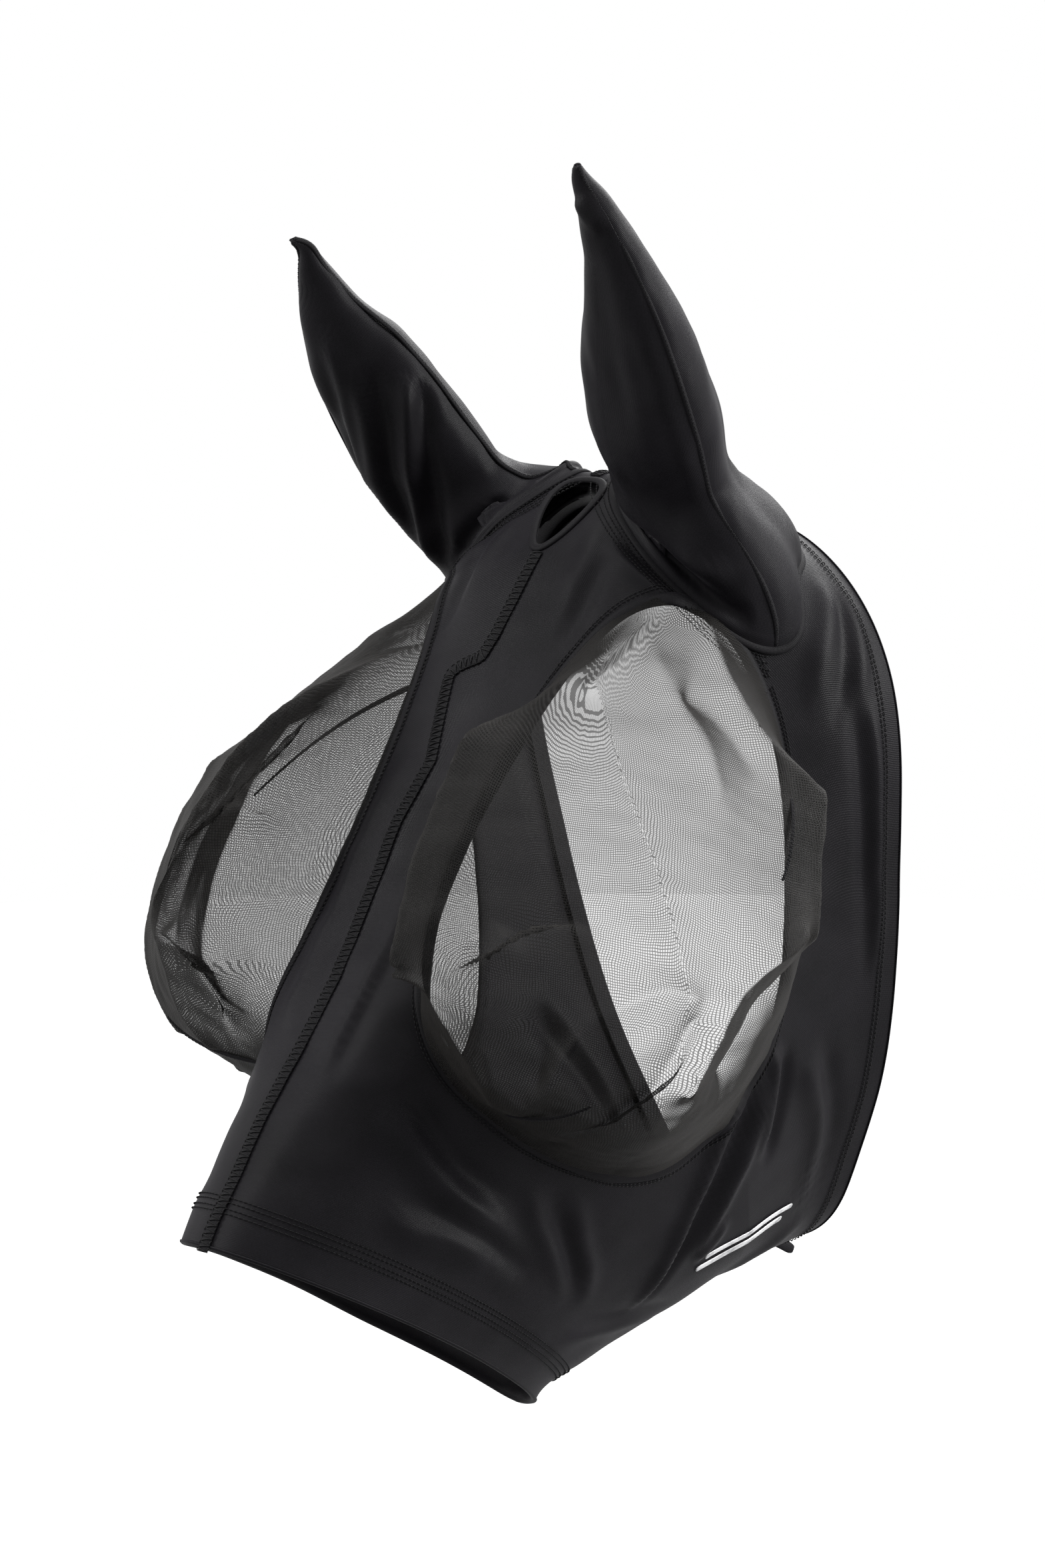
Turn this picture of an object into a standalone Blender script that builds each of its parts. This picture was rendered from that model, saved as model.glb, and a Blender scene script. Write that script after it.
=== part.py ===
"""Pull-on stretch fly mask for a full-size horse, in the shape it takes when worn.

Metres, +Z up. The nose points to -Y, the horse's left is +X, and the origin is the poll, the
point between the ears where the mask hangs on the head.

Every fabric piece follows one surface, skin(s, theta, lift). s runs from 0 at the nose hem to 1
at the neck hem, along section planes that fan out from a hub line behind the jaw. theta is the
angle round a section, 0 at the top midline and pi under the jaw, and lift is the height above the
surface. The right side mirrors the left, except that the right ear sleeve droops.
"""

import math
from functools import lru_cache

import bmesh
import bpy
from mathutils import Matrix, Vector

MASK = "fly_mask"

# The fan of section planes: the hub line's place, and the angles of the two hems.
HUB_Y = 0.175
HUB_Z = -0.575
NOSE_ANGLE = math.radians(152.4)
NECK_ANGLE = math.radians(99.2)

# Sections at even steps from the nose hem to the neck hem: distance from the hub to the face line
# and to the jaw line, half width, how far the width sits towards the top, and the power of the
# sine that gives the width (1 is an ellipse, less is squarer).
SECTIONS = [
    (0.476, 0.239, 0.060, 0.10, 1.00),
    (0.473, 0.221, 0.066, 0.12, 0.95),
    (0.474, 0.207, 0.074, 0.15, 0.91),
    (0.479, 0.196, 0.084, 0.18, 0.85),
    (0.487, 0.188, 0.093, 0.20, 0.82),
    (0.501, 0.182, 0.102, 0.22, 0.80),
    (0.520, 0.177, 0.109, 0.21, 0.77),
    (0.546, 0.173, 0.113, 0.19, 0.76),
    (0.578, 0.169, 0.115, 0.16, 0.76),
    (0.595, 0.167, 0.117, 0.14, 0.78),
    (0.570, 0.166, 0.118, 0.13, 0.80),
]
TOP_SQUARE = 0.92

# Thicknesses of the fabrics, the radius of the thread, and the gap kept between touching pieces.
LYCRA = 0.0016
MESH = 0.0012
GAP = 0.0003
THREAD = 0.0008

# The grid of a side panel, how much its columns crowd towards the midlines, and the distance of
# its edges from the midlines.
PANEL_ROWS = 22
PANEL_COLUMNS = 14
COLUMN_CROWD = 0.05
SEAM_HALF = 0.0022

# Turned hems: the width of each, the share of it that the elastic inside takes, the elastic's
# thickness, the gap between layers, and how far the layers inside stay back from the edge.
NOSE_HEM_WIDTH = 0.026
NECK_HEM_WIDTH = 0.014
ELASTIC_SHARE = 0.7
ELASTIC = 0.0010
HEM_GAP = 0.0011
HEM_EDGE = 0.0015
STITCH_WIDTH = 0.0060

# The eye opening, a superellipse in (s, theta), and the dome over it: how far its crown stands out,
# how blunt it is, the share of the opening its rim takes, and the places where it bags further:
# how far, and the middle and the size of the place in shares of the opening.
EYE_CENTRE = (0.558, 1.02)
EYE_HALF = (0.285, 0.78)
EYE_POWER = 2.4
EYE_POINTS = 28
EYE_RINGS = 9
EYE_BULGE = Vector((0.088, -0.062, -0.034))
EYE_ROUND = 0.85
EYE_BAGS = [
    (Vector((-0.040, -0.075, 0.030)), (0.0, -0.8), (1.1, 0.35)),
    (Vector((0.026, 0.026, 0.008)), (0.65, 0.20), (0.5, 0.5)),
]
EYE_RIM = 0.94
EYE_BINDING_GROW = -0.030
EYE_BINDING_RADIUS = 0.0014
EYE_STITCH_GROW = 0.022
DART_RINGS = 6
DART_GAP = 0.0009

# The ear opening, an ellipse, with the seam and the band of stitching round it.
EAR_CENTRE = (0.902, 0.53)
EAR_HALF = (0.061, 0.40)
EAR_POWER = 2.0
EAR_POINTS = 24
EAR_CUT = 0.10
EAR_SEAM_GROW = 0.03
EAR_SEAM_RADIUS = 0.0012
EAR_STITCH_GROW = (0.15, 0.22)
EAR_STITCH_FIRST = 11
EAR_STITCH_LAST = 17

# The hole between the ears for the forelock, and the narrow elastic behind it.
FORELOCK_CENTRE = 0.833
FORELOCK_HALF = (0.042, 0.088)
FORELOCK_POINTS = 20
FORELOCK_BINDING_GROW = -0.14
FORELOCK_BINDING_RADIUS = 0.0011
POLL_BAND_ROWS = (0.880, 0.887, 0.894)
POLL_BAND_HALF = 0.085
POLL_BAND_LIFT = -0.0050
POLL_BAND = 0.0012

# Ear sleeves, from the base ring to the tip.
# Each row of the table is a share of the way up, then half the width and half the depth there.
EAR_SHAPE = [
    (0.00, 0.050, 0.034),
    (0.20, 0.038, 0.026),
    (0.35, 0.035, 0.023),
    (0.50, 0.030, 0.018),
    (0.65, 0.023, 0.014),
    (0.78, 0.015, 0.010),
    (0.90, 0.0085, 0.0065),
    (0.98, 0.0045, 0.0036),
]
EAR_BASE_BLEND = 0.3
EAR_BASE_GROW = -0.06
EAR_CLEAR = 0.0030
EAR_SEAM_GAP = 0.0017
LEFT_EAR_TIP = Vector((0.090, -0.086, 0.173))
RIGHT_EAR_TIP = Vector((0.110, -0.084, 0.118))
EAR_AXIS_HEIGHT = 0.020

# The throat tail, where the jaw seam's end stands out past the neck hem.
TAIL_SIZE = Vector((0.0018, 0.015, 0.005))
TAIL_TURN = math.radians(-38)
TAIL_OFFSET = Vector((0, 0.0085, -0.0055))

# Two plain reflective strips on the left cheek: (s from, s to, theta), and their size.
STRIPS = [(0.47, 0.74, 2.47), (0.52, 0.78, 2.38)]
STRIP_HALF_WIDTH = 0.0024
STRIP_THICK = 0.0005
STRIP_POINTS = 9

# Midline seams: the radius of the cord, and how far in s its ends stay from a hem's edge and from
# the front and the back of the forelock hole.
SEAM_CORD = 0.0010
SEAM_END = 0.002
SEAM_FRONT_GAP = 0.004
SEAM_REAR_GAP = 0.006

# The height of a row of stitching above the fabric, the reach of a cutter to each side of it, and
# the size below which a sliver left by a cut is merged away.
ROW_GAP = 0.0011
CUT_DEPTH = 0.020
SLIVER = 0.00025

BLACK = (0.012, 0.011, 0.014)
MESH_GREY = (0.020, 0.019, 0.019)
THREAD_BLACK = (0.008, 0.008, 0.009)
ELASTIC_GREY = (0.035, 0.035, 0.036)
SILVER = (0.62, 0.63, 0.64)

# What each kind of piece looks like: colour and roughness.
LYCRA_LOOK = (BLACK, 0.62)
MESH_LOOK = (MESH_GREY, 0.70)
THREAD_LOOK = (THREAD_BLACK, 0.55)
ELASTIC_LOOK = (ELASTIC_GREY, 0.75)
SILVER_LOOK = (SILVER, 0.35)


def cubic(a, b, c, d, t):
    """A smooth value between b and c, with a and d as their neighbours."""
    return 0.5 * (2 * b + (c - a) * t + (2 * a - 5 * b + 4 * c - d) * t * t + (3 * b - a - 3 * c + d) * t**3)


@lru_cache(maxsize=None)
def section(s):
    """The five section values at s."""
    last = len(SECTIONS) - 1
    place = min(max(s, 0.0), 1.0) * last
    i = min(int(place), last - 1)
    near = [SECTIONS[min(max(i + k, 0), last)] for k in (-1, 0, 1, 2)]
    return tuple(cubic(*(row[k] for row in near), place - i) for k in range(len(SECTIONS[0])))


def signed_power(value, power):
    return math.copysign(abs(value) ** power, value)


@lru_cache(maxsize=None)
def bare_skin(s, theta):
    face, jaw, width, skew, square = section(s)
    angle = NOSE_ANGLE + (NECK_ANGLE - NOSE_ANGLE) * s
    reach = (face + jaw) / 2 + (face - jaw) / 2 * signed_power(math.cos(theta), TOP_SQUARE)
    x = width * signed_power(math.sin(theta), square)
    x *= (1 + skew * math.cos(theta)) / (1 + 0.35 * skew)
    return Vector((x, HUB_Y + reach * math.cos(angle), HUB_Z + reach * math.sin(angle)))


@lru_cache(maxsize=None)
def outward(s, theta):
    """The unit normal of the surface, pointing away from the head."""
    step = 0.012
    along = bare_skin(s + step, theta) - bare_skin(s - step, theta)
    if s > 1 - step:
        along = bare_skin(1.0, theta) - bare_skin(1.0 - step, theta)
    if s < step:
        along = bare_skin(step, theta) - bare_skin(0.0, theta)
    around = bare_skin(s, theta + 3 * step) - bare_skin(s, theta - 3 * step)
    return around.cross(along).normalized()


def skin(s, theta, lift=0.0):
    return bare_skin(s, theta) + outward(s, theta) * lift


def along_rate(s, theta):
    """Metres per unit of s at a point of the surface."""
    step = 0.01
    return (bare_skin(s + step, theta) - bare_skin(s - step, theta)).length / (2 * step)


def spread(low, high, count):
    return [low + (high - low) * i / (count - 1) for i in range(count)]


def material(name, colour, roughness):
    found = bpy.data.materials.get(name)
    if found:
        return found
    made = bpy.data.materials.new(name)
    made.use_nodes = True
    shader = made.node_tree.nodes["Principled BSDF"]
    shader.inputs["Base Color"].default_value = (*colour, 1.0)
    shader.inputs["Roughness"].default_value = roughness
    return made


def empty_scene():
    for thing in list(bpy.data.objects):
        bpy.data.objects.remove(thing, do_unlink=True)


def collection(name):
    made = bpy.data.collections.new(name)
    bpy.context.scene.collection.children.link(made)
    return made


def place(name, mesh, look, parts, origin=None):
    """Put a mesh in the model as a node, with its origin at the given point."""
    if origin is not None:
        for vertex in mesh.vertices:
            vertex.co -= origin
    node = bpy.data.objects.new(name, mesh)
    if origin is not None:
        node.location = origin
    parts.objects.link(node)
    mesh.materials.append(material(name, *look))
    mesh.shade_smooth()
    return node


def grid_mesh(name, rows, closed=False):
    """An open sheet through rows of points. A closed sheet joins each row's last point to its first."""
    mesh = bpy.data.meshes.new(name)
    width = len(rows[0])
    faces = []
    for i in range(len(rows) - 1):
        for j in range(width if closed else width - 1):
            k = (j + 1) % width
            faces.append((i * width + j, i * width + k, (i + 1) * width + k, (i + 1) * width + j))
    mesh.from_pydata([point for row in rows for point in row], [], faces)
    return mesh


def thicken(node, thickness):
    """Give an open sheet its thickness, half to each side."""
    shell = node.modifiers.new("thickness", "SOLIDIFY")
    shell.thickness = thickness
    shell.offset = 0.0
    return node


def apply_modifiers(node):
    """Swap a node's mesh for the evaluated one."""
    graph = bpy.context.evaluated_depsgraph_get()
    made = bpy.data.meshes.new_from_object(node.evaluated_get(graph))
    node.modifiers.clear()
    node.data = made
    return node


def tidy_mesh(node, within=0.00002):
    """Merge points that lie this close, and drop faces without area."""
    shape = bmesh.new()
    shape.from_mesh(node.data)
    bmesh.ops.remove_doubles(shape, verts=shape.verts, dist=within)
    bmesh.ops.dissolve_degenerate(shape, edges=shape.edges, dist=within)
    bmesh.ops.recalc_face_normals(shape, faces=shape.faces)
    shape.to_mesh(node.data)
    shape.free()


def tube(name, lines, radius, look, parts, closed=False, sides=1, origin=None):
    """A round thread or cord along each line of points, as one node."""
    curve = bpy.data.curves.new(name, "CURVE")
    curve.dimensions = "3D"
    curve.bevel_depth = radius
    curve.bevel_resolution = sides
    curve.use_fill_caps = not closed
    for line in lines:
        spline = curve.splines.new("POLY")
        spline.points.add(len(line) - 1)
        for point, where in zip(spline.points, line):
            point.co = (*where, 1.0)
        spline.use_cyclic_u = closed
    guide = bpy.data.objects.new(name + "_path", curve)
    parts.objects.link(guide)
    graph = bpy.context.evaluated_depsgraph_get()
    mesh = bpy.data.meshes.new_from_object(guide.evaluated_get(graph))
    bpy.data.objects.remove(guide, do_unlink=True)
    mesh.name = name
    mesh.materials.clear()
    node = place(name, mesh, look, parts, origin)
    tidy_mesh(node)
    return node


def ring_outline(centre, half, power, count, grow=0.0):
    """Points (s, theta) round a superellipse, grown by a share of its size."""
    made = []
    for i in range(count):
        turn = 2 * math.pi * i / count
        s = centre[0] + half[0] * (1 + grow) * signed_power(math.cos(turn), 2 / power)
        theta = centre[1] + half[1] * (1 + grow) * signed_power(math.sin(turn), 2 / power)
        made.append((s, theta))
    return made


def plug(name, outline, low, high, cutters):
    """A closed cutter through the fabric: the outline at two lifts, joined and capped."""
    mesh = bpy.data.meshes.new(name)
    count = len(outline)
    centre = [sum(p[k] for p in outline) / count for k in (0, 1)]
    points = []
    for lift in (low, high):
        points += on_skin(outline, lift)
        points.append(skin(*centre, lift * 3))
    base, top = count, 2 * count + 1
    faces = []
    for i in range(count):
        k = (i + 1) % count
        faces.append((i, k, k + count + 1, i + count + 1))
        faces.append((k, i, base))
        faces.append((i + count + 1, k + count + 1, top))
    mesh.from_pydata(points, [], faces)
    cutter = bpy.data.objects.new(name, mesh)
    cutters.objects.link(cutter)
    tidy_mesh(cutter)
    cutter.hide_render = True
    cutter.display_type = "WIRE"
    return cutter


def cut(node, cutter):
    """Subtract a cutter and keep the result as the node's mesh."""
    opening = node.modifiers.new(cutter.name, "BOOLEAN")
    opening.operation = "DIFFERENCE"
    opening.solver = "EXACT"
    opening.object = cutter
    apply_modifiers(node)
    tidy_mesh(node, SLIVER)


def mirrored(point, side):
    return Vector((point.x * side, point.y, point.z))


def side_name(side):
    return "left" if side > 0 else "right"


@lru_cache(maxsize=None)
def seam_theta(s, middle):
    """How far from a midline the panel edge lies, in theta, for the seam's half width."""
    theta = 0.02
    for _ in range(12):
        x = abs(bare_skin(s, middle + theta).x)
        theta *= (SEAM_HALF / x) ** 0.8
    return theta


def panel_theta(s, share):
    """Theta across a side panel, keeping clear of the two midline seams."""
    low = seam_theta(s, 0.0)
    high = math.pi - seam_theta(s, math.pi)
    even = share - COLUMN_CROWD * math.sin(2 * math.pi * share)
    return low + (high - low) * even


def forelock_outline(grow=0.0):
    """The hole between the ears, narrow towards the nose."""
    made = []
    for i in range(FORELOCK_POINTS):
        turn = 2 * math.pi * i / FORELOCK_POINTS
        s = FORELOCK_CENTRE + FORELOCK_HALF[0] * (1 + grow) * math.cos(turn)
        narrow = 0.72 + 0.38 * math.cos(turn)
        made.append((s, FORELOCK_HALF[1] * (1 + grow) * math.sin(turn) * narrow))
    return made


def eye_outline(grow=0.0):
    return ring_outline(EYE_CENTRE, EYE_HALF, EYE_POWER, EYE_POINTS, grow)


def ear_outline(grow=0.0):
    return ring_outline(EAR_CENTRE, EAR_HALF, EAR_POWER, EAR_POINTS, grow)


def on_skin(outline, lift):
    return [skin(s, theta, lift) for s, theta in outline]


def side_panel(parts, cutters):
    """The lycra side of the hood in one piece, from nose hem to neck hem, with its three openings."""
    rows = []
    for s in spread(0.0, 1.0, PANEL_ROWS):
        rows.append([skin(s, panel_theta(s, u)) for u in spread(0, 1, PANEL_COLUMNS)])
    node = place("left_side_panel", grid_mesh("left_side_panel", rows), LYCRA_LOOK, parts)
    thicken(node, LYCRA)
    apply_modifiers(node)
    openings = {
        "eye_opening": eye_outline(),
        "ear_opening": ear_outline(EAR_CUT),
        "forelock_opening": forelock_outline(),
    }
    for name, outline in openings.items():
        cut(node, plug(name, outline, -CUT_DEPTH, CUT_DEPTH, cutters))
    return node


def mirror_copy(node, parts):
    """The right-hand twin of a left-hand node."""
    mesh = node.data.copy()
    for vertex in mesh.vertices:
        vertex.co.x = -vertex.co.x
    mesh.flip_normals()
    name = node.name.replace("left_", "right_")
    mesh.name = name
    twin = bpy.data.objects.new(name, mesh)
    parts.objects.link(twin)
    return twin


# ---- the eye domes ----


def dome_point(share, rho):
    """A point of the left eye dome: share of a turn round it, and rho from 0 at the crown to 1."""
    turn = 2 * math.pi * share
    a = rho * signed_power(math.cos(turn), 2 / EYE_POWER)
    b = rho * signed_power(math.sin(turn), 2 / EYE_POWER)
    rise = max(0.0, 1 - (rho / EYE_RIM) ** 2) ** EYE_ROUND
    point = bare_skin(EYE_CENTRE[0] + a * EYE_HALF[0], EYE_CENTRE[1] + b * EYE_HALF[1]) + EYE_BULGE * rise
    slack = max(0.0, 1 - (rho / EYE_RIM) ** 4) ** 0.8
    for bag, middle, size in EYE_BAGS:
        away = ((a - middle[0]) / size[0]) ** 2 + ((b - middle[1]) / size[1]) ** 2
        point += bag * slack * math.exp(-away)
    return point


def ring_rho(k):
    """Where ring k of the dome's grid lies, from the rim."""
    return EYE_RIM * (1 - (k / EYE_RINGS) ** 1.25)


def eye_dome(parts):
    """The baggy mesh dome over the eye, open towards the head."""
    name = "left_eye_mesh"
    rhos = [ring_rho(k) for k in range(EYE_RINGS)]
    rows = [[dome_point(i / EYE_POINTS, rho) for i in range(EYE_POINTS)] for rho in rhos]
    mesh = grid_mesh(name, rows, closed=True)
    shape = bmesh.new()
    shape.from_mesh(mesh)
    crown = shape.verts.new(dome_point(0, 0))
    shape.verts.ensure_lookup_table()
    first = (EYE_RINGS - 1) * EYE_POINTS
    for i in range(EYE_POINTS):
        k = (i + 1) % EYE_POINTS
        shape.faces.new((shape.verts[first + i], shape.verts[first + k], crown))
    shape.to_mesh(mesh)
    shape.free()
    node = thicken(place(name, mesh, MESH_LOOK, parts), MESH)
    apply_modifiers(node)
    return node


def dart(name, share, parts):
    """The stitched tuck that shapes the dome, running in from the rim."""
    line = []
    for k in range(1, DART_RINGS):
        rho = ring_rho(k)
        here = dome_point(share, rho)
        round_way = dome_point(share + 0.01, rho) - dome_point(share - 0.01, rho)
        inward = dome_point(share, rho - 0.02) - dome_point(share, rho + 0.02)
        up = inward.cross(round_way).normalized()
        if up.dot(EYE_BULGE) < 0:
            up = -up
        line.append(here + up * (MESH / 2 + THREAD + DART_GAP))
    return tube(name, [line], THREAD, THREAD_LOOK, parts)


# ---- hems ----


def hem_s(theta, width, neck):
    """s at a distance from a hem's edge."""
    if neck:
        return 1 - width / along_rate(0.98, theta)
    return width / along_rate(0.02, theta)


def hem_band(name, start, end, lift, thickness, neck, look, parts):
    """A closed band inside a hem, between two distances from its edge."""
    rows = []
    for share in (0, 1):
        width = start + (end - start) * share
        row = []
        for theta in hem_angles(neck):
            row.append(skin(hem_s(theta, width, neck), theta, lift))
        rows.append(row)
    node = thicken(place(name, grid_mesh(name, rows, closed=True), look, parts), thickness)
    apply_modifiers(node)
    return node


def hem_angles(neck):
    """Angles right round a hem, at the panels' own columns."""
    one_side = [panel_theta(1.0 if neck else 0.0, u) for u in spread(0, 1, PANEL_COLUMNS)]
    return one_side + [-theta for theta in reversed(one_side)]


def hem(name, width, neck, parts):
    """What lies inside a turned hem, and the band of stitching that holds it."""
    elastic_lift = -(LYCRA / 2 + HEM_GAP + ELASTIC / 2)
    facing_lift = elastic_lift - ELASTIC / 2 - HEM_GAP - LYCRA / 2
    end = width * ELASTIC_SHARE
    hem_band(name + "_elastic", HEM_EDGE, end, elastic_lift, ELASTIC, neck, ELASTIC_LOOK, parts)
    hem_band(name + "_facing", HEM_EDGE, width, facing_lift, LYCRA, neck, LYCRA_LOOK, parts)
    stitch_lift = LYCRA / 2 + ROW_GAP + THREAD / 2
    inner = width - STITCH_WIDTH
    hem_band(name + "_stitching", inner, width, stitch_lift, THREAD, neck, THREAD_LOOK, parts)


# ---- ear sleeves ----


def ear_frame():
    """The left ear's base: its ring of points, their middle, the way across, and the hinge point."""
    ring = on_skin(ear_outline(EAR_BASE_GROW), EAR_CLEAR)
    base = sum(ring, Vector()) / len(ring)
    quarter = EAR_POINTS // 4
    chord = (ring[quarter] - ring[3 * quarter]).normalized()
    hinge = base + outward(*EAR_CENTRE) * EAR_AXIS_HEIGHT
    return ring, base, chord, hinge


def ear_values(share):
    """Half width and half depth of the sleeve at a share of the way up."""
    for low, high in zip(EAR_SHAPE, EAR_SHAPE[1:]):
        if share <= high[0]:
            t = (share - low[0]) / (high[0] - low[0])
            return [low[k] + (high[k] - low[k]) * t for k in (1, 2)]
    return list(EAR_SHAPE[-1][1:])


def ear_point(frame, tip, share, turn):
    """A point of the sleeve. turn is 0 at the back, a quarter turn at the outer edge."""
    ring, base, chord, _ = frame
    up = (tip - base).normalized()
    across = (chord - up * chord.dot(up)).normalized()
    back = up.cross(across)
    if back.y < 0:
        back = -back
    width, depth = ear_values(share)
    middle = base + (tip - base) * share
    oval = middle + across * width * math.sin(turn) + back * depth * math.cos(turn)
    place_on_ring = (turn / (2 * math.pi)) % 1 * EAR_POINTS
    i = int(place_on_ring)
    t = place_on_ring - i
    rim = ring[i % EAR_POINTS].lerp(ring[(i + 1) % EAR_POINTS], t)
    lifted = rim + (tip - base) * share
    blend = min(share / EAR_BASE_BLEND, 1.0)
    blend = blend * blend * (3 - 2 * blend)
    return lifted.lerp(oval, blend)


def ear_panel(name, frame, tip, first_turn, hinge, side, parts):
    """Half of a sleeve, front or back, between its two seams."""
    rows = []
    steps = EAR_POINTS // 2
    for share, _, depth in EAR_SHAPE:
        clear = min(EAR_SEAM_GAP / depth, 0.5)
        turns = [first_turn + clear + (math.pi - 2 * clear) * k / steps for k in range(steps + 1)]
        rows.append([mirrored(ear_point(frame, tip, share, turn), side) for turn in turns])
    node = thicken(place(name, grid_mesh(name, rows), LYCRA_LOOK, parts, hinge), LYCRA)
    apply_modifiers(node)
    tidy_mesh(node)
    return node


def ear_sleeve(side, tip, parts):
    """One ear sleeve: front and back panels and the seam that runs up one edge and down the other."""
    frame = ear_frame()
    hinge = mirrored(frame[3], side)
    name = side_name(side) + "_ear"
    ear_panel(name + "_back", frame, tip, -math.pi / 2, hinge, side, parts)
    ear_panel(name + "_front", frame, tip, math.pi / 2, hinge, side, parts)
    inner = [ear_point(frame, tip, share, -math.pi / 2) for share, _, _ in EAR_SHAPE]
    outer = [ear_point(frame, tip, share, math.pi / 2) for share, _, _ in EAR_SHAPE]
    line = inner + [tip] + outer[::-1]
    tube(name + "_seam", [[mirrored(p, side) for p in line]], THREAD, THREAD_LOOK, parts, origin=hinge)


def ear_base(parts):
    """The seam round the ear opening and the band of stitching in front of it."""
    ring = on_skin(ear_outline(EAR_SEAM_GROW), LYCRA / 2)
    left = [tube("left_ear_base_seam", [ring], EAR_SEAM_RADIUS, THREAD_LOOK, parts, closed=True)]
    rows = []
    for grow in EAR_STITCH_GROW:
        front = ear_outline(grow)[EAR_STITCH_FIRST : EAR_STITCH_LAST + 1]
        rows.append(on_skin(front, LYCRA / 2 + THREAD / 2 + ROW_GAP))
    mesh = grid_mesh("left_ear_base_stitching", rows)
    band = thicken(place("left_ear_base_stitching", mesh, THREAD_LOOK, parts), THREAD)
    left.append(apply_modifiers(band))
    return left


# ---- midline seams and small parts ----


def midline_seam(name, start, end, middle, parts):
    """The cord of a seam along a midline: middle is theta there."""
    count = max(4, round((end - start) * (PANEL_ROWS - 1)))
    line = [skin(s, middle) for s in spread(start, end, count)]
    tube(name, [line], SEAM_CORD, THREAD_LOOK, parts)


def poll_band(parts):
    """The narrow elastic that bridges the two ear bases behind the forelock hole."""
    rows = []
    for s in POLL_BAND_ROWS:
        across = spread(-POLL_BAND_HALF, POLL_BAND_HALF, 7)
        rows.append([skin(s, theta, POLL_BAND_LIFT) for theta in across])
    node = place("poll_elastic", grid_mesh("poll_elastic", rows), ELASTIC_LOOK, parts)
    thicken(node, POLL_BAND)
    apply_modifiers(node)


def throat_tail(parts):
    """The tail of the jaw seam."""
    bpy.ops.mesh.primitive_cube_add(size=1)
    tail = bpy.context.object
    for owner in list(tail.users_collection):
        owner.objects.unlink(tail)
    parts.objects.link(tail)
    tail.name = "throat_seam_tail"
    tail.data.transform(Matrix.Diagonal((*TAIL_SIZE, 1)))
    tail.rotation_euler = (TAIL_TURN, 0, 0)
    tail.location = skin(1.0, math.pi) + TAIL_OFFSET
    tail.data.materials.append(material("throat_seam_tail", *LYCRA_LOOK))


def reflective_strips(parts):
    """The two strips on the left cheek, each of an even width."""
    lift = LYCRA / 2 + GAP + STRIP_THICK
    for number, (start, end, theta) in enumerate(STRIPS):
        rows = []
        for s in spread(start, end, STRIP_POINTS):
            rate = (bare_skin(s, theta + 0.02) - bare_skin(s, theta - 0.02)).length / 0.04
            half = STRIP_HALF_WIDTH / rate
            rows.append([skin(s, theta - half, lift), skin(s, theta + half, lift)])
        name = "left_reflective_strip_" + ("lower", "upper")[number]
        node = thicken(place(name, grid_mesh(name, rows), SILVER_LOOK, parts), STRIP_THICK)
        apply_modifiers(node)


def main():
    empty_scene()
    parts = collection(MASK)
    cutters = collection("cutters")
    left = [side_panel(parts, cutters), eye_dome(parts)]
    binding = on_skin(eye_outline(EYE_BINDING_GROW), 0.0)
    radius = EYE_BINDING_RADIUS
    left.append(tube("left_eye_binding", [binding], radius, LYCRA_LOOK, parts, closed=True))
    row = on_skin(eye_outline(EYE_STITCH_GROW), LYCRA / 2 + THREAD + ROW_GAP)
    left.append(tube("left_eye_stitching", [row], THREAD, THREAD_LOOK, parts, closed=True, sides=0))
    left.append(dart("left_eye_front_dart", 0.5, parts))
    left.append(dart("left_eye_rear_dart", 0.0, parts))
    left += ear_base(parts)
    for node in left:
        tidy_mesh(node)
        mirror_copy(node, parts)
    ear_sleeve(1, LEFT_EAR_TIP, parts)
    ear_sleeve(-1, RIGHT_EAR_TIP, parts)
    hem("nose_hem", NOSE_HEM_WIDTH, False, parts)
    hem("neck_hem", NECK_HEM_WIDTH, True, parts)
    hole_front = FORELOCK_CENTRE - FORELOCK_HALF[0]
    hole_rear = FORELOCK_CENTRE + FORELOCK_HALF[0]
    midline_seam("face_seam", SEAM_END, hole_front - SEAM_FRONT_GAP, 0.0, parts)
    midline_seam("crown_seam", hole_rear + SEAM_REAR_GAP, 1 - SEAM_END, 0.0, parts)
    midline_seam("jaw_seam", SEAM_END, 1 - SEAM_END, math.pi, parts)
    binding = on_skin(forelock_outline(FORELOCK_BINDING_GROW), 0.0)
    radius = FORELOCK_BINDING_RADIUS
    tube("forelock_binding", [binding], radius, LYCRA_LOOK, parts, closed=True)
    poll_band(parts)
    throat_tail(parts)
    reflective_strips(parts)


main()
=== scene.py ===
"""The fly mask's cloth, net, stitching and light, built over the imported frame.

Every fabric follows the surface of the CAD model, repeated here in numpy. s runs from 0 at the nose
hem to 1 at the neck hem, theta is the angle round the head from the top midline, positive on the
horse's left, and lift is the height above the surface.
"""

import math

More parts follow.
